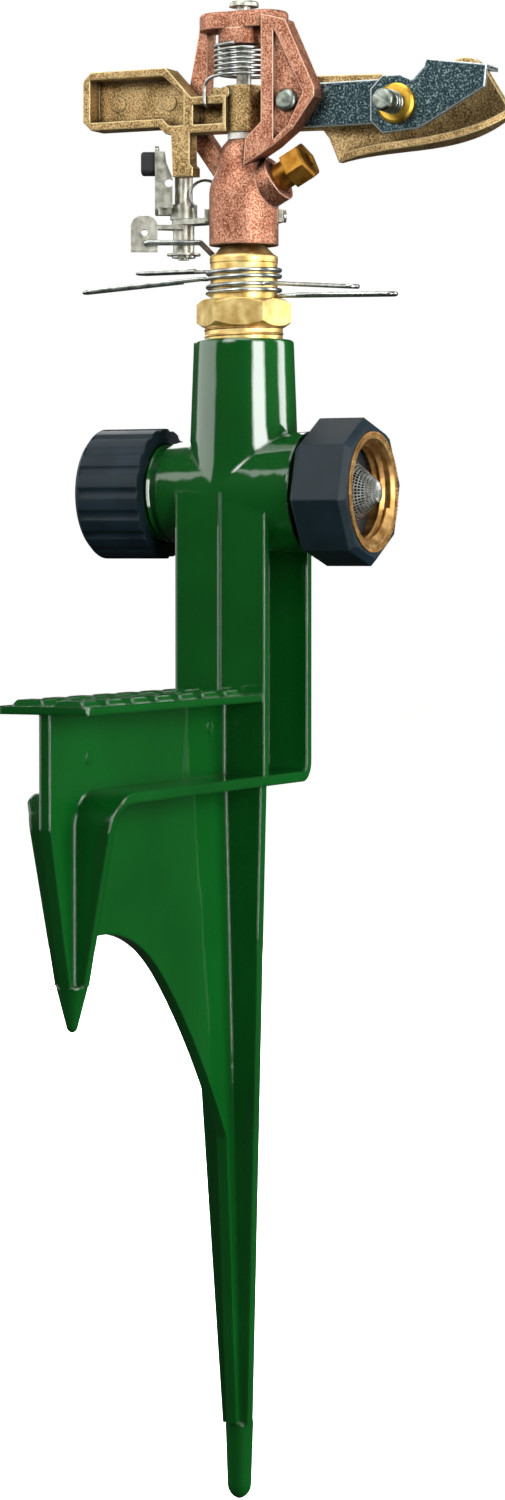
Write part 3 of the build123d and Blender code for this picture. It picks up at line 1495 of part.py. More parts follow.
with BuildPart() as end_cap:
    with BuildSketch(outlet_plane.offset(cap_start)):
        Circle(cap_r)
    extrude(amount=cap_end - cap_start)
    chamfer(end_cap.faces().sort_by(Axis.Y)[-1].edges(), length=cap_chamfer)
    with BuildSketch(outlet_plane.offset(cap_start)):
        with PolarLocations(cap_r + cap_flute_out, cap_flutes):
            Circle(cap_flute_r)
    extrude(amount=cap_end - cap_start - cap_chamfer, mode=Mode.SUBTRACT)
    with BuildSketch(outlet_plane.offset(cap_start)):
        Circle(outlet_thread_r + cap_bore_gap)
    extrude(amount=cap_end - cap_end_wall - cap_start, mode=Mode.SUBTRACT)
finish(end_cap, "end_cap")
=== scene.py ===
"""Looks of the impact sprinkler on its step spike.

Finishes for every piece of the frame, then the threads, knurl, filter weave and casting marks that are thin
trim, then camera, paper sweep and lights. All lengths are in metres.
"""

import math

import bmesh
import bpy
from mathutils import Matrix, Vector


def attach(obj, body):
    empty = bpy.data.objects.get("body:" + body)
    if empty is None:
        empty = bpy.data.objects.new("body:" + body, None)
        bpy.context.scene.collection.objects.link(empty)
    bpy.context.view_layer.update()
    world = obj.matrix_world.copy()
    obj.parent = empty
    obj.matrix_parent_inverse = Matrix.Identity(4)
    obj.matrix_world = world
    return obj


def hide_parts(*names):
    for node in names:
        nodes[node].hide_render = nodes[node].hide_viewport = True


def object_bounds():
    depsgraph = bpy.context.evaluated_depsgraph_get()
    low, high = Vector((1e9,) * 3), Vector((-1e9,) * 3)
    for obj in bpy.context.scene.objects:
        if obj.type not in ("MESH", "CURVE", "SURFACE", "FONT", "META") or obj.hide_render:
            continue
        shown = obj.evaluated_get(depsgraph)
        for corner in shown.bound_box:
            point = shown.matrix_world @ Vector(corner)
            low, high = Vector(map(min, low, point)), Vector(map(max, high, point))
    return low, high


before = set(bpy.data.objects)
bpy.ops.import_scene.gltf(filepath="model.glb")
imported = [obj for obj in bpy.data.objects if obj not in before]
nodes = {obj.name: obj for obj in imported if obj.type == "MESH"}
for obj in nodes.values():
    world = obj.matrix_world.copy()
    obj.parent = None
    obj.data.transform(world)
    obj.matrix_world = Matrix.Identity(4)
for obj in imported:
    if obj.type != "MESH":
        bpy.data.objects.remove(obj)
cad_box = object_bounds()

MM = 0.001

# Places and sizes shared with the solids
PIPE_Z = 78.1 * MM
RISER_TOP = 119.2 * MM
HEX_BOTTOM = 122.7 * MM
NIPPLE_CREST = 10.75 * MM
NIPPLE_PITCH = 1.81 * MM
OUTLET_START = 20.3 * MM
OUTLET_END = 37.4 * MM
OUTLET_ROOT = 12.4 * MM
OUTLET_CREST = 13.4 * MM
HOSE_PITCH = 2.209 * MM
INSERT_ROOT = 13.3 * MM
INSERT_CREST = 12.3 * MM
INSERT_START = 32.6 * MM
INSERT_END = 36.9 * MM
INSERT_RIM_R = 16.0 * MM
INSERT_FACE = 38.3 * MM
SCREEN_START = 32.1 * MM
SCREEN_LENGTH = 7.9 * MM
SCREEN_BASE_R = 8.5 * MM
SCREEN_TIP_R = 2.6 * MM
WEB_HALF = 1.5 * MM
POST_HALF = 15.0 * MM
STEP_TOP = 24.5 * MM
PAN_FLOOR_X = -0.5 * MM

# Sizes of the thin trim that is made here
FULL_TURN = 2 * math.pi
MERGE_DISTANCE = 0.002 * MM
THREAD_STEPS = 48  # facets in one turn of thread
RIDGE_HALF = 0.46  # half the width of a ridge's foot, in pitches
THREAD_SINK = 0.1 * MM  # how far a ridge's foot goes into its wall
NIPPLE_THREAD_DEPTH = 0.5 * MM
NIPPLE_THREAD_LIFT = 0.2 * MM
OUTLET_RUN_OUT = 1.4 * MM
KNURL_TEETH = 88
KNURL_TOOTH = 0.6 * MM
KNURL_SINK = 0.2 * MM
KNURL_BACK = 0.1 * MM
WEAVE_ROWS = 10
WEAVE_WIRES = 40
WEAVE_WIRE = 0.34 * MM
WEAVE_CONE = 0.93  # share of the filter's length that is a straight cone
WEAVE_TIP = ((0.6, 0.975), (0.2, 1.0))  # rounded tip: shares of the tip's radius and of the length
MARK_SEGMENTS = 32
MARK_TAPER = 0.86
WEB_MARK_R = 2.0 * MM
WEB_MARK_DEPTH = 0.3 * MM
PAN_MARK_DEPTH = 0.6 * MM
PARTING_RISE = 0.3 * MM
PARTING_WIDTH = 1.3 * MM

# A wave node turns this many radians in a unit
WAVE_RADIANS = 20


def linear(code):
    """Linear RGBA of an sRGB hex colour."""
    parts = [int(code[i : i + 2], 16) / 255 for i in (1, 3, 5)]
    return tuple(c / 12.92 if c <= 0.04045 else ((c + 0.055) / 1.055) ** 2.4 for c in parts) + (1.0,)


def per_metre(size_mm):
    """Texture scale of a pattern whose features are this many millimetres apart."""
    return 1 / (size_mm * MM)


def add_node(tree, kind, inputs=None, stops=None, **settings):
    """Add a node, set its properties and colour stops, and set or link its inputs."""
    made = tree.nodes.new(kind)
    for name, value in settings.items():
        setattr(made, name, value)
    if stops:
        ramp = made.color_ramp.elements
        while len(ramp) < len(stops):
            ramp.new(0.5)
        for element, (position, code) in zip(ramp, stops):
            element.position = position
            element.color = linear(code)
    for name, value in (inputs or {}).items():
        if isinstance(value, bpy.types.NodeSocket):
            tree.links.new(value, made.inputs[name])
        else:
            made.inputs[name].default_value = value
    return made


def new_finish(name):
    """A material with its shader and its Object coordinates."""
    finish = bpy.data.materials.new(name)
    finish.use_nodes = True
    tree = finish.node_tree
    place = add_node(tree, "ShaderNodeTexCoord").outputs["Object"]
    return finish, tree, tree.nodes["Principled BSDF"], place


def glossy_enamel():
    """Stoved enamel on an aluminium casting.

    It gives the eye a wet dark green gloss with runs, faint orange peel and soft bright edges.
    """
    finish, tree, shader, place = new_finish("stoved_enamel_green")
    pools = add_node(tree, "ShaderNodeTexNoise", {"Vector": place, "Scale": per_metre(35), "Detail": 2.0})
    green = add_node(
        tree, "ShaderNodeValToRGB", {"Fac": pools.outputs["Fac"]}, stops=[(0.3, "#023b0d"), (0.75, "#044613")]
    )
    peel = add_node(tree, "ShaderNodeTexNoise", {"Vector": place, "Scale": per_metre(2.6), "Detail": 1.0})
    round_edges = add_node(tree, "ShaderNodeBevel", {"Radius": 1.1 * MM}, samples=4)
    long_way = add_node(tree, "ShaderNodeMapping", {"Vector": place, "Scale": (1.0, 1.0, 0.35)})
    runs = add_node(
        tree,
        "ShaderNodeTexNoise",
        {"Vector": long_way.outputs["Vector"], "Scale": per_metre(7), "Detail": 1.0},
    )
    wavy = add_node(
        tree,
        "ShaderNodeBump",
        {
            "Strength": 0.3,
            "Distance": 0.5 * MM,
            "Height": runs.outputs["Fac"],
            "Normal": round_edges.outputs["Normal"],
        },
    )
    skin = add_node(
        tree,
        "ShaderNodeBump",
        {
            "Strength": 0.16,
            "Distance": 0.10 * MM,
            "Height": peel.outputs["Fac"],
            "Normal": wavy.outputs["Normal"],
        },
    )
    tree.links.new(green.outputs["Color"], shader.inputs["Base Color"])
    tree.links.new(skin.outputs["Normal"], shader.inputs["Normal"])
    tree.links.new(skin.outputs["Normal"], shader.inputs["Coat Normal"])
    shader.inputs["Roughness"].default_value = 0.4
    shader.inputs["Specular IOR Level"].default_value = 0.05
    shader.inputs["Coat Weight"].default_value = 1.0
    shader.inputs["Coat IOR"].default_value = 1.8
    shader.inputs["Coat Roughness"].default_value = 0.05
    return finish


def moulded_abs():
    """Moulded black ABS: bluish black, half matt, with a spark-eroded grain and soft edges.

    The real grain is too fine to show, so it is drawn coarser, 0.5 mm apart.
    """
    finish, tree, shader, place = new_finish("moulded_abs_black")
    cloud = add_node(tree, "ShaderNodeTexNoise", {"Vector": place, "Scale": per_metre(9), "Detail": 3.0})
    black = add_node(
        tree, "ShaderNodeValToRGB", {"Fac": cloud.outputs["Fac"]}, stops=[(0.25, "#09141a"), (0.8, "#11222a")]
    )
    rough = add_node(
        tree, "ShaderNodeMapRange", {"Value": cloud.outputs["Fac"], "To Min": 0.42, "To Max": 0.58}
    )
    grain = add_node(tree, "ShaderNodeTexNoise", {"Vector": place, "Scale": per_metre(0.5), "Detail": 2.0})
    round_edges = add_node(tree, "ShaderNodeBevel", {"Radius": 0.7 * MM}, samples=4)
    skin = add_node(
        tree,
        "ShaderNodeBump",
        {
            "Strength": 0.22,
            "Distance": 0.06 * MM,
            "Height": grain.outputs["Fac"],
            "Normal": round_edges.outputs["Normal"],
        },
    )
    tree.links.new(black.outputs["Color"], shader.inputs["Base Color"])
    tree.links.new(rough.outputs["Result"], shader.inputs["Roughness"])
    tree.links.new(skin.outputs["Normal"], shader.inputs["Normal"])
    shader.inputs["Specular IOR Level"].default_value = 0.25
    return finish


def edge_wear_and_highlight(tree, round_edges, start, full):
    """How far a place lies on a rounded edge, where the rounded and the flat normal part: the mask for pale
    edges, partly rubbed wear and partly painted highlight.
    """
    flat = add_node(tree, "ShaderNodeNewGeometry")
    same = add_node(
        tree,
        "ShaderNodeVectorMath",
        {0: round_edges.outputs["Normal"], 1: flat.outputs["Normal"]},
        operation="DOT_PRODUCT",
    )
    wear = add_node(
        tree, "ShaderNodeMapRange", {"Value": same.outputs["Value"], "From Min": start, "From Max": full}
    )
    return wear.outputs["Result"]


def cast_metal(name, tones, grit_mm, depth_mm, rough_low, rough_high):
    """Sand-cast alloy, tumbled: a sparkling grain of pits, painted shade in the hollows, and pale edges that
    are partly rubbed wear, partly painted highlight.

    The grain is drawn a little coarser than moulding sand, so that it shows.
    """
    finish, tree, shader, place = new_finish(name)
    hollow_shade, dark, mid, light, worn_and_lit = tones
    grit = add_node(tree, "ShaderNodeTexNoise", {"Vector": place, "Scale": per_metre(grit_mm), "Detail": 4.0})
    blotch = add_node(tree, "ShaderNodeTexNoise", {"Vector": place, "Scale": per_metre(6), "Detail": 3.0})
    blend = add_node(tree, "ShaderNodeMix", {0: 0.25, 2: grit.outputs["Fac"], 3: blotch.outputs["Fac"]})
    alloy = add_node(
        tree,
        "ShaderNodeValToRGB",
        {"Fac": blend.outputs[0]},
        stops=[(0.4, dark), (0.5, mid), (0.6, light)],
    )
    rough = add_node(
        tree, "ShaderNodeMapRange", {"Value": grit.outputs["Fac"], "To Min": rough_low, "To Max": rough_high}
    )
    round_edges = add_node(tree, "ShaderNodeBevel", {"Radius": 0.7 * MM}, samples=6)
    # Pale edges: partly rubbed wear, partly a painted highlight along the rounded edges
    worn_and_lit_edges = add_node(
        tree,
        "ShaderNodeMix",
        {0: edge_wear_and_highlight(tree, round_edges, 0.985, 0.88), 6: alloy.outputs["Color"], 7: linear(worn_and_lit)},
        data_type="RGBA",
    )
    # Painted shade: an occlusion mask darkens the colour in hollows and inner corners towards the first tone
    hollow = add_node(tree, "ShaderNodeAmbientOcclusion", {"Distance": 2.5 * MM}, samples=6)
    open_air = add_node(
        tree, "ShaderNodeMapRange", {"Value": hollow.outputs["AO"], "From Min": 0.35, "From Max": 0.95}
    )
    shaded_in_hollows = add_node(
        tree,
        "ShaderNodeMix",
        {0: open_air.outputs["Result"], 6: linear(hollow_shade), 7: worn_and_lit_edges.outputs[2]},
        data_type="RGBA",
    )
    skin = add_node(
        tree,
        "ShaderNodeBump",
        {
            "Strength": 0.8,
            "Distance": depth_mm * MM,
            "Height": grit.outputs["Fac"],
            "Normal": round_edges.outputs["Normal"],
        },
    )
    tree.links.new(shaded_in_hollows.outputs[2], shader.inputs["Base Color"])
    tree.links.new(rough.outputs["Result"], shader.inputs["Roughness"])
    tree.links.new(skin.outputs["Normal"], shader.inputs["Normal"])
    shader.inputs["Metallic"].default_value = 1.0
    return finish


def turned_brass(name, dark, light, along):
    """Bar brass from the lathe: yellow, bright, with faint tool rings across the axis of turning.

    Real tool rings are finer than a pixel, so they are drawn coarser: a radian of the wave each 0.45 mm,
    which puts the rings 2.8 mm apart.
    """
    finish, tree, shader, place = new_finish(name)
    rings = add_node(
        tree,
        "ShaderNodeTexWave",
        {"Vector": place, "Scale": per_metre(0.45) / WAVE_RADIANS, "Distortion": 0.6, "Detail": 1.0},
        wave_type="BANDS",
        bands_direction=along,
    )
    stain = add_node(tree, "ShaderNodeTexNoise", {"Vector": place, "Scale": per_metre(3.5), "Detail": 4.0})
    alloy = add_node(
        tree, "ShaderNodeValToRGB", {"Fac": stain.outputs["Fac"]}, stops=[(0.3, dark), (0.7, light)]
    )
    rough = add_node(
        tree, "ShaderNodeMapRange", {"Value": stain.outputs["Fac"], "To Min": 0.34, "To Max": 0.54}
    )
    round_edges = add_node(tree, "ShaderNodeBevel", {"Radius": 0.35 * MM}, samples=4)
    skin = add_node(
        tree,
        "ShaderNodeBump",
        {
            "Strength": 0.25,
            "Distance": 0.03 * MM,
            "Height": rings.outputs["Fac"],
            "Normal": round_edges.outputs["Normal"],
        },
    )
    tree.links.new(alloy.outputs["Color"], shader.inputs["Base Color"])
    tree.links.new(rough.outputs["Result"], shader.inputs["Roughness"])
    tree.links.new(skin.outputs["Normal"], shader.inputs["Normal"])
    shader.inputs["Metallic"].default_value = 1.0
    return finish


def bright_steel(name, dark, light, rough_low, rough_high):
    """Zinc-plated or drawn steel: silver with a faint cloudy plating."""
    finish, tree, shader, place = new_finish(name)
    cloud = add_node(tree, "ShaderNodeTexNoise", {"Vector": place, "Scale": per_metre(2.2), "Detail": 4.0})
    silver = add_node(
        tree, "ShaderNodeValToRGB", {"Fac": cloud.outputs["Fac"]}, stops=[(0.3, dark), (0.7, light)]
    )
    rough = add_node(
        tree, "ShaderNodeMapRange", {"Value": cloud.outputs["Fac"], "To Min": rough_low, "To Max": rough_high}
    )
    round_edges = add_node(tree, "ShaderNodeBevel", {"Radius": 0.2 * MM}, samples=4)
    skin = add_node(
        tree,
        "ShaderNodeBump",
        {
            "Strength": 0.12,
            "Distance": 0.03 * MM,
            "Height": cloud.outputs["Fac"],
            "Normal": round_edges.outputs["Normal"],
        },
    )
    tree.links.new(silver.outputs["Color"], shader.inputs["Base Color"])
    tree.links.new(rough.outputs["Result"], shader.inputs["Roughness"])
    tree.links.new(skin.outputs["Normal"], shader.inputs["Normal"])
    shader.inputs["Metallic"].default_value = 1.0
    return finish


def galvanised_plate():
    """Galvanised sheet, darkened: blue-grey speckle under a thin shine, with pale edges, partly rubbed wear
    and partly painted highlight.
    """
    finish, tree, shader, place = new_finish("galvanised_plate_dark")
    crystals = add_node(tree, "ShaderNodeTexVoronoi", {"Vector": place, "Scale": per_metre(0.45)})
    specks = add_node(tree, "ShaderNodeTexNoise", {"Vector": place, "Scale": per_metre(0.6), "Detail": 5.0})
    blend = add_node(
        tree,
        "ShaderNodeMath",
        {0: crystals.outputs["Distance"], 1: specks.outputs["Fac"]},
        operation="MULTIPLY",
    )
    zinc = add_node(
        tree,
        "ShaderNodeValToRGB",
        {"Fac": blend.outputs["Value"]},
        stops=[(0.12, "#0d1c20"), (0.28, "#213a40"), (0.5, "#788a8a")],
    )
    round_edges = add_node(tree, "ShaderNodeBevel", {"Radius": 0.8 * MM}, samples=6)
    # Pale edges: partly rubbed wear, partly a painted highlight along the plate's rims
    worn_and_lit_edges = add_node(
        tree,
        "ShaderNodeMix",
        {0: edge_wear_and_highlight(tree, round_edges, 0.99, 0.92), 6: zinc.outputs["Color"], 7: linear("#dde4e2")},
        data_type="RGBA",
    )
    rough = add_node(
        tree, "ShaderNodeMapRange", {"Value": specks.outputs["Fac"], "To Min": 0.3, "To Max": 0.5}
    )
    skin = add_node(
        tree,
        "ShaderNodeBump",
        {
            "Strength": 0.25,
            "Distance": 0.05 * MM,
            "Height": specks.outputs["Fac"],
            "Normal": round_edges.outputs["Normal"],
        },
    )
    tree.links.new(worn_and_lit_edges.outputs[2], shader.inputs["Base Color"])
    tree.links.new(rough.outputs["Result"], shader.inputs["Roughness"])
    tree.links.new(skin.outputs["Normal"], shader.inputs["Normal"])
    shader.inputs["Metallic"].default_value = 0.75
    return finish


def matt_filling(name, dark, light, rough_low, rough_high):
    """Rubber or nylon: matt, faintly clouded, with a dusty bloom."""
    finish, tree, shader, place = new_finish(name)
    bloom = add_node(tree, "ShaderNodeTexNoise", {"Vector": place, "Scale": per_metre(1.6), "Detail": 4.0})
    tone = add_node(
        tree, "ShaderNodeValToRGB", {"Fac": bloom.outputs["Fac"]}, stops=[(0.3, dark), (0.7, light)]
    )
    rough = add_node(
        tree, "ShaderNodeMapRange", {"Value": bloom.outputs["Fac"], "To Min": rough_low, "To Max": rough_high}
    )
    skin = add_node(
        tree, "ShaderNodeBump", {"Strength": 0.15, "Distance": 0.05 * MM, "Height": bloom.outputs["Fac"]}
    )
    tree.links.new(tone.outputs["Color"], shader.inputs["Base Color"])
    tree.links.new(rough.outputs["Result"], shader.inputs["Roughness"])
    tree.links.new(skin.outputs["Normal"], shader.inputs["Normal"])
    return finish


# One finish for each material, in the tone and shine that its pieces show
enamel = glossy_enamel()
abs_black = moulded_abs()
# Tones of a cast finish: painted shade for the hollows, dark, mid and light grain, and the pale edge tone,
# partly rubbed wear and partly painted highlight
# Pinkish cast brass of the head, with deeper pits than the arm
red_brass = cast_metal(
    "cast_red_brass", ("#2a1512", "#74442f", "#a8725a", "#d0a085", "#eec5aa"), 0.45, 0.16, 0.4, 0.64
)
# Olive bronze of the arm, duller and with shallower pits
arm_bronze = cast_metal(
    "cast_bronze_olive", ("#2a1f10", "#6a5634", "#a88c5e", "#d2b888", "#ecdba8"), 0.45, 0.11, 0.46, 0.7
)
# Lathe brass, pale on the nipple and deeper inside the coupling and on the nozzle
brass_upright = turned_brass("turned_brass_upright", "#cfa556", "#f6e09c", "Z")
brass_level = turned_brass("turned_brass_level", "#9d7038", "#e8bd7c", "Y")
brass_cross = turned_brass("turned_brass_cross", "#a87f2c", "#e8c250", "X")
brass_nozzle = turned_brass("turned_brass_nozzle", "#885a1b", "#c58f3e", "Y")
# Silver steels: cloudy zinc, shinier drawn wire, darker wire cloth, warm nickel and dark zinc
plated = bright_steel("zinc_plated_steel", "#8f8f82", "#d2d2c4", 0.34, 0.52)
drawn_wire = bright_steel("drawn_stainless_wire", "#868b85", "#c8ccc7", 0.26, 0.4)
mesh_wire = bright_steel("drawn_stainless_mesh", "#6f746f", "#b4b8b3", 0.3, 0.46)
nickel = bright_steel("nickel_plated_steel", "#a3a294", "#dcdbcd", 0.34, 0.52)
dark_zinc = bright_steel("zinc_plated_steel_dark", "#4b534c", "#a9b1a4", 0.3, 0.48)
galvanised = galvanised_plate()
# Dull black rubber and off-white nylon of the washers
rubber = matt_filling("moulded_rubber_black", "#0b0d0f", "#16191c", 0.55, 0.8)
nylon = matt_filling("moulded_nylon_white", "#cfccc0", "#e9e7de", 0.4, 0.6)

FINISH_OF = {
    "step_spike": enamel,
    "bearing_nipple": brass_upright,
    "thrust_washers": nylon,
    "coupling_clip": drawn_wire,
    "bearing_tube": brass_upright,
    "sprinkler_body": red_brass,
    "nozzle": brass_nozzle,
    "fulcrum_pin": plated,
    "arm_washer": nylon,
    "arm_bush": nylon,
    "impact_arm": arm_bronze,
    "arm_spring": drawn_wire,
    "deflector_bracket": galvanised,
    "deflector_rivet": dark_zinc,
    "deflector_flap": galvanised,
    "deflector_screw": dark_zinc,
    "deflector_nut": dark_zinc,
    "deflector_collar": brass_cross,
    "deflector_spring": drawn_wire,
    "trip_yoke": plated,
    "yoke_rivet": plated,
    "trip_tube": nickel,
    "trip_pin": nickel,
    "trip_lever": nickel,
    "trip_rod": drawn_wire,
    "trip_washer": plated,
    "trip_clip": drawn_wire,
    "trip_hammer": plated,
    "trip_bumper": rubber,
    "trip_spring": drawn_wire,
    "upper_trip_collar": drawn_wire,
    "lower_trip_collar": drawn_wire,
    "inlet_sleeve": abs_black,
    "inlet_insert": brass_level,
    "inlet_washer": rubber,
    "filter_screen": mesh_wire,
    "cap_washer": rubber,
    "end_cap": abs_black,
}
for node_name, finish in FINISH_OF.items():
    for holder in nodes[node_name].material_slots:
        holder.material = finish


def show_piece(name, mesh, finish, body):
    """Make an object of a bmesh, in place, and let it ride on a body."""
    bmesh.ops.remove_doubles(mesh, verts=mesh.verts, dist=MERGE_DISTANCE)
    bmesh.ops.recalc_face_normals(mesh, faces=mesh.faces)
    data = bpy.data.meshes.new(name)
    mesh.to_mesh(data)
    mesh.free()
    data.materials.append(finish)
    piece = bpy.data.objects.new(name, data)
    bpy.context.scene.collection.objects.link(piece)
    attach(piece, body)
    return piece


def thread_ridge(root, crest, pitch, start, end, turn):
    """A helical V ridge along +Z from start to end, then turned into place."""
    mesh = bmesh.new()
    turns = (end - start) / pitch
    half = RIDGE_HALF * pitch
    corners = [(root, 0, start - half), (crest, 0, start), (root, 0, start + half)]
    made = [mesh.verts.new(c) for c in corners]
    edges = [mesh.edges.new(made[i : i + 2]) for i in range(2)]
    bmesh.ops.spin(
        mesh,
        geom=made + edges,
        cent=(0, 0, 0),
        axis=(0, 0, 1),
        dvec=(0, 0, pitch / THREAD_STEPS),
        angle=FULL_TURN * turns,
        steps=round(THREAD_STEPS * turns),
    )
    bmesh.ops.transform(mesh, matrix=turn, verts=mesh.verts)
    return mesh


along_outlet = Matrix.Translation((0, 0, PIPE_Z)) @ Matrix.Rotation(-math.pi / 2, 4, "X")
along_inlet = Matrix.Translation((0, 0, PIPE_Z)) @ Matrix.Rotation(math.pi / 2, 4, "X")

# Pipe thread that shows between the riser and the hex
nipple_thread = thread_ridge(
    NIPPLE_CREST - NIPPLE_THREAD_DEPTH,
    NIPPLE_CREST,
    NIPPLE_PITCH,
    RISER_TOP + NIPPLE_THREAD_LIFT,
    HEX_BOTTOM,
    Matrix.Identity(4),
)
show_piece("nipple_thread", nipple_thread, brass_level, "spike")

# Hose thread of the outlet, painted with the casting
outlet_thread = thread_ridge(
    OUTLET_ROOT - THREAD_SINK,
    OUTLET_CREST,
    HOSE_PITCH,
    OUTLET_START + OUTLET_RUN_OUT,
    OUTLET_END - OUTLET_RUN_OUT,
    along_outlet,
)
show_piece("outlet_thread", outlet_thread, enamel, "spike")

# Hose thread inside the brass insert
insert_thread = thread_ridge(
    INSERT_ROOT + THREAD_SINK, INSERT_CREST, HOSE_PITCH, INSERT_START, INSERT_END, along_inlet
)
show_piece("insert_thread", insert_thread, brass_level, "coupling")


def rim_knurl():
    """The fine straight knurl round the insert's rim, a ring of small teeth."""
    mesh = bmesh.new()
    stand = Matrix.Translation((INSERT_RIM_R - KNURL_SINK, 0, INSERT_FACE - KNURL_BACK))
    bmesh.ops.create_cube(mesh, size=KNURL_TOOTH, matrix=stand)
    bmesh.ops.spin(
        mesh,
        geom=mesh.verts[:] + mesh.edges[:] + mesh.faces[:],
        cent=(0, 0, 0),
        axis=(0, 0, 1),
        angle=FULL_TURN * (KNURL_TEETH - 1) / KNURL_TEETH,
        steps=KNURL_TEETH - 1,
        use_duplicate=True,
    )
    bmesh.ops.transform(mesh, matrix=along_inlet, verts=mesh.verts)
    return mesh


show_piece("insert_knurl", rim_knurl(), brass_level, "coupling")


def filter_weave():
    """The filter's wire cloth: a cone of crossing wires with a rounded tip.

    Real cloth is too fine to show at this size, so its wires are drawn thicker and further apart.
    """
    mesh = bmesh.new()
    profile = [
        (
            SCREEN_BASE_R + (SCREEN_TIP_R - SCREEN_BASE_R) * i / WEAVE_ROWS,
            0,
            SCREEN_START + WEAVE_CONE * SCREEN_LENGTH * i / WEAVE_ROWS,
        )
        for i in range(WEAVE_ROWS + 1)
    ]
    profile += [(r * SCREEN_TIP_R, 0, SCREEN_START + s * SCREEN_LENGTH) for r, s in WEAVE_TIP]
    made = [mesh.verts.new(p) for p in profile]
    edges = [mesh.edges.new(made[i : i + 2]) for i in range(len(made) - 1)]
    bmesh.ops.spin(
        mesh,
        geom=made + edges,
        cent=(0, 0, 0),
        axis=(0, 0, 1),
        angle=FULL_TURN,
        steps=WEAVE_WIRES,
        use_merge=True,
    )
    bmesh.ops.recalc_face_normals(mesh, faces=mesh.faces)
    bmesh.ops.wireframe(
        mesh,
        faces=mesh.faces,
        thickness=WEAVE_WIRE,
        use_replace=True,
        use_boundary=True,
        use_even_offset=True,
    )
    bmesh.ops.transform(mesh, matrix=along_inlet, verts=mesh.verts)
    return mesh


weave = show_piece("filter_weave", filter_weave(), mesh_wire, "coupling")
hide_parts("filter_screen")


def pin_mark(place, facing, radius, depth):
    """A round ejector-pin mark: a low disc sunk half into the face that it marks."""
    mesh = bmesh.new()
    bmesh.ops.create_cone(
        mesh,
        cap_ends=True,
        segments=MARK_SEGMENTS,
        radius1=radius,
        radius2=radius * MARK_TAPER,
        depth=depth,
    )
    stand = Matrix.Translation(place) @ Vector(facing).to_track_quat("Z", "Y").to_matrix().to_4x4()
    bmesh.ops.transform(mesh, matrix=stand, verts=mesh.verts)
    return mesh


# Marks on the near side of the web, under the enamel, and on the floors of the arm's pan and pocket
for mark_name, mark_x, mark_z in (
    ("step_pin_mark", -92 * MM, 11 * MM),
    ("post_pin_mark", -24 * MM, 16 * MM),
):
    mark = pin_mark((mark_x, -WEB_HALF, mark_z), (0, -1, 0), WEB_MARK_R, WEB_MARK_DEPTH)
    show_piece(mark_name, mark, enamel, "spike")
for mark_name, mark_y, mark_z, mark_r in (
    ("pan_end_mark", 37.8 * MM, 184.5 * MM, 2.4 * MM),
    ("pan_slope_mark", 22.1 * MM, 184.0 * MM, 2.4 * MM),
    ("pocket_mark", 8.1 * MM, 180.6 * MM, 1.3 * MM),
):
    mark = pin_mark((PAN_FLOOR_X, mark_y, mark_z), (-1, 0, 0), mark_r, PAN_MARK_DEPTH)
    show_piece(mark_name, mark, arm_bronze, "arm")


def parting_line():
    """The mould's parting line, a low ridge down the middle of the post's near face."""
    mesh = bmesh.new()
    middle = Matrix.Translation((-POST_HALF, 0, (STEP_TOP + PIPE_Z) / 2))
    shape = Matrix.Diagonal((PARTING_RISE, PARTING_WIDTH, PIPE_Z - STEP_TOP, 1))
    bmesh.ops.create_cube(mesh, size=1, matrix=middle @ shape)
    return mesh


show_piece("post_parting_line", parting_line(), enamel, "spike")

# Camera at the photograph's place: one metre off, a little below the hose pipe, tipped slightly down
CAMERA_PLACE = (-0.9016, -0.4326, 0.0605)
SENSOR_HEIGHT = 36
LENS = 88.9
LENS_SHIFT = -0.064
NEAR_LIMIT = 0.01
VIEW_WAY = Vector((0.9026, 0.4305, 0))
TILT = math.radians(1.48)
camera = bpy.data.objects.new("camera", bpy.data.cameras.new("camera"))
camera.data.sensor_fit = "VERTICAL"
camera.data.sensor_height = SENSOR_HEIGHT
camera.data.lens = LENS
camera.data.shift_y = LENS_SHIFT
camera.location = CAMERA_PLACE
aim = Vector((VIEW_WAY.x * math.cos(TILT), VIEW_WAY.y * math.cos(TILT), -math.sin(TILT)))
camera.rotation_euler = aim.to_track_quat("-Z", "Y").to_euler()
camera.data.clip_start = NEAR_LIMIT
bpy.context.scene.collection.objects.link(camera)
bpy.context.scene.camera = camera

# Paper sweep: a flat floor, a bend and a wall, all round the part
FLOOR_DROP = 0.5 * MM
FLOOR_REACH = 5.0
BEND_R = 2.0
BEND_STEPS = 10
WALL_TOP = 8.0
SWEEP_STEPS = 72
SWEEP_MERGE = 0.01 * MM


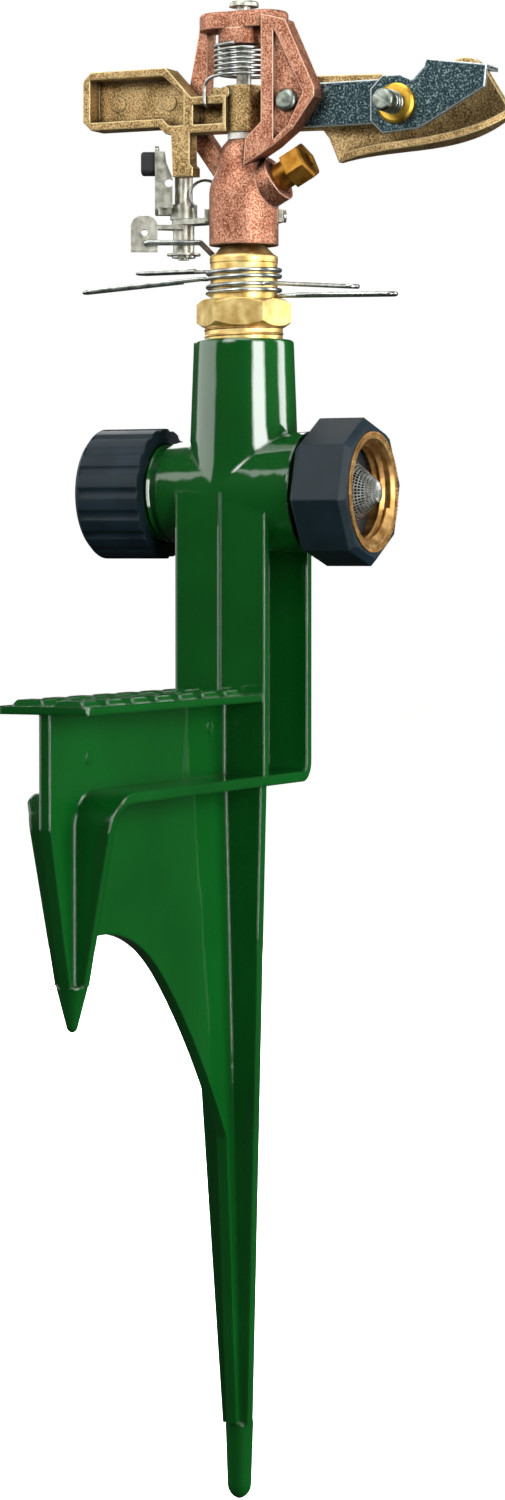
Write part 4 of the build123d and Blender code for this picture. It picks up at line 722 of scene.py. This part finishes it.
def paper_sweep():
    """Pale paper all round, floor and wall in one, kept out of the reflections like a cut-out."""
    mesh = bmesh.new()
    floor_z = cad_box[0][2] - FLOOR_DROP
    outline = [(0, floor_z), (FLOOR_REACH, floor_z)]
    outline += [
        (FLOOR_REACH + BEND_R * math.sin(a), floor_z + BEND_R * (1 - math.cos(a)))
        for a in [math.pi / 2 * i / BEND_STEPS for i in range(1, BEND_STEPS + 1)]
    ]
    outline += [(FLOOR_REACH + BEND_R, floor_z + WALL_TOP)]
    made = [mesh.verts.new((reach, 0, z)) for reach, z in outline]
    edges = [mesh.edges.new(made[i : i + 2]) for i in range(len(made) - 1)]
    bmesh.ops.spin(
        mesh,
        geom=made + edges,
        cent=(0, 0, 0),
        axis=(0, 0, 1),
        angle=FULL_TURN,
        steps=SWEEP_STEPS,
        use_merge=True,
    )
    bmesh.ops.remove_doubles(mesh, verts=mesh.verts, dist=SWEEP_MERGE)
    bmesh.ops.recalc_face_normals(mesh, faces=mesh.faces)
    data = bpy.data.meshes.new("paper_sweep")
    mesh.to_mesh(data)
    mesh.free()
    for face in data.polygons:
        face.use_smooth = True
    sweep = bpy.data.objects.new("paper_sweep", data)
    paper, tree, shader, place = new_finish("studio_paper")
    fibre = add_node(tree, "ShaderNodeTexNoise", {"Vector": place, "Scale": per_metre(60), "Detail": 2.0})
    white = add_node(
        tree, "ShaderNodeValToRGB", {"Fac": fibre.outputs["Fac"]}, stops=[(0.0, "#fafaf9"), (1.0, "#fcfcfb")]
    )
    tree.links.new(white.outputs["Color"], shader.inputs["Base Color"])
    shader.inputs["Roughness"].default_value = 0.9
    tree.links.new(white.outputs["Color"], shader.inputs["Emission Color"])
    shader.inputs["Emission Strength"].default_value = 1.0
    data.materials.append(paper)
    sweep.visible_glossy = False
    sweep.visible_diffuse = False
    sweep.visible_shadow = False
    bpy.context.scene.collection.objects.link(sweep)


paper_sweep()


def soft_box(name, place, target, width, height, power, spread, mirrored):
    """A rectangular soft light aimed at a point, that shows in gloss unless it is a fill."""
    lamp = bpy.data.lights.new(name, "AREA")
    lamp.shape = "RECTANGLE"
    lamp.size = width
    lamp.size_y = height
    lamp.energy = power
    lamp.spread = math.radians(spread)
    holder = bpy.data.objects.new(name, lamp)
    holder.visible_glossy = mirrored
    holder.location = place
    holder.rotation_euler = (Vector(target) - Vector(place)).to_track_quat("-Z", "Y").to_euler()
    bpy.context.scene.collection.objects.link(holder)


WIDE = 180
# Name, place, target, width, height, watts, spread in degrees, shows in gloss
LIGHTS = (
    ("key_left", (-0.4, 1.08, 0.4), (0, 0, 0.05), 1.3, 1.1, 9, WIDE, True),
    ("strip_right", (-0.56, -0.95, 0.14), (0, 0, 0.06), 0.5, 0.9, 14.5, WIDE, True),
    ("side_right", (0.6, -1.0, 0.45), (0, 0, 0.05), 0.45, 0.9, 9, WIDE, True),
    ("side_fill", (0.35, -1.2, 0.2), (0, 0, -0.03), 1.0, 1.0, 21, WIDE, False),
    ("left_fill", (-0.15, 1.25, 0.25), (0, 0, 0), 1.2, 1.2, 16, WIDE, False),
    ("overhead", (-0.2, 0.0, 1.3), (0, 0, 0.1), 1.0, 1.0, 14, WIDE, True),
    ("back_soft", (0.85, 0.85, 0.7), (0, 0, 0.05), 0.8, 0.8, 8, WIDE, True),
    ("back_fill", (1.2, 0.5, 0.3), (0, 0, 0), 1.2, 1.2, 22, WIDE, False),
    ("head_front", (-0.62, 0.12, 0.48), (0, -0.01, 0.19), 0.35, 0.35, 0.27, 45, True),
)
for light in LIGHTS:
    soft_box(*light)

world = bpy.data.worlds.new("studio_air")
world.use_nodes = True
world.node_tree.nodes["Background"].inputs["Color"].default_value = linear("#f4f5f7")
world.node_tree.nodes["Background"].inputs["Strength"].default_value = 0.03
bpy.context.scene.world = world

# The photograph is a plain bright studio picture, so its tones are shown as they are
bpy.context.scene.view_settings.view_transform = "Standard"
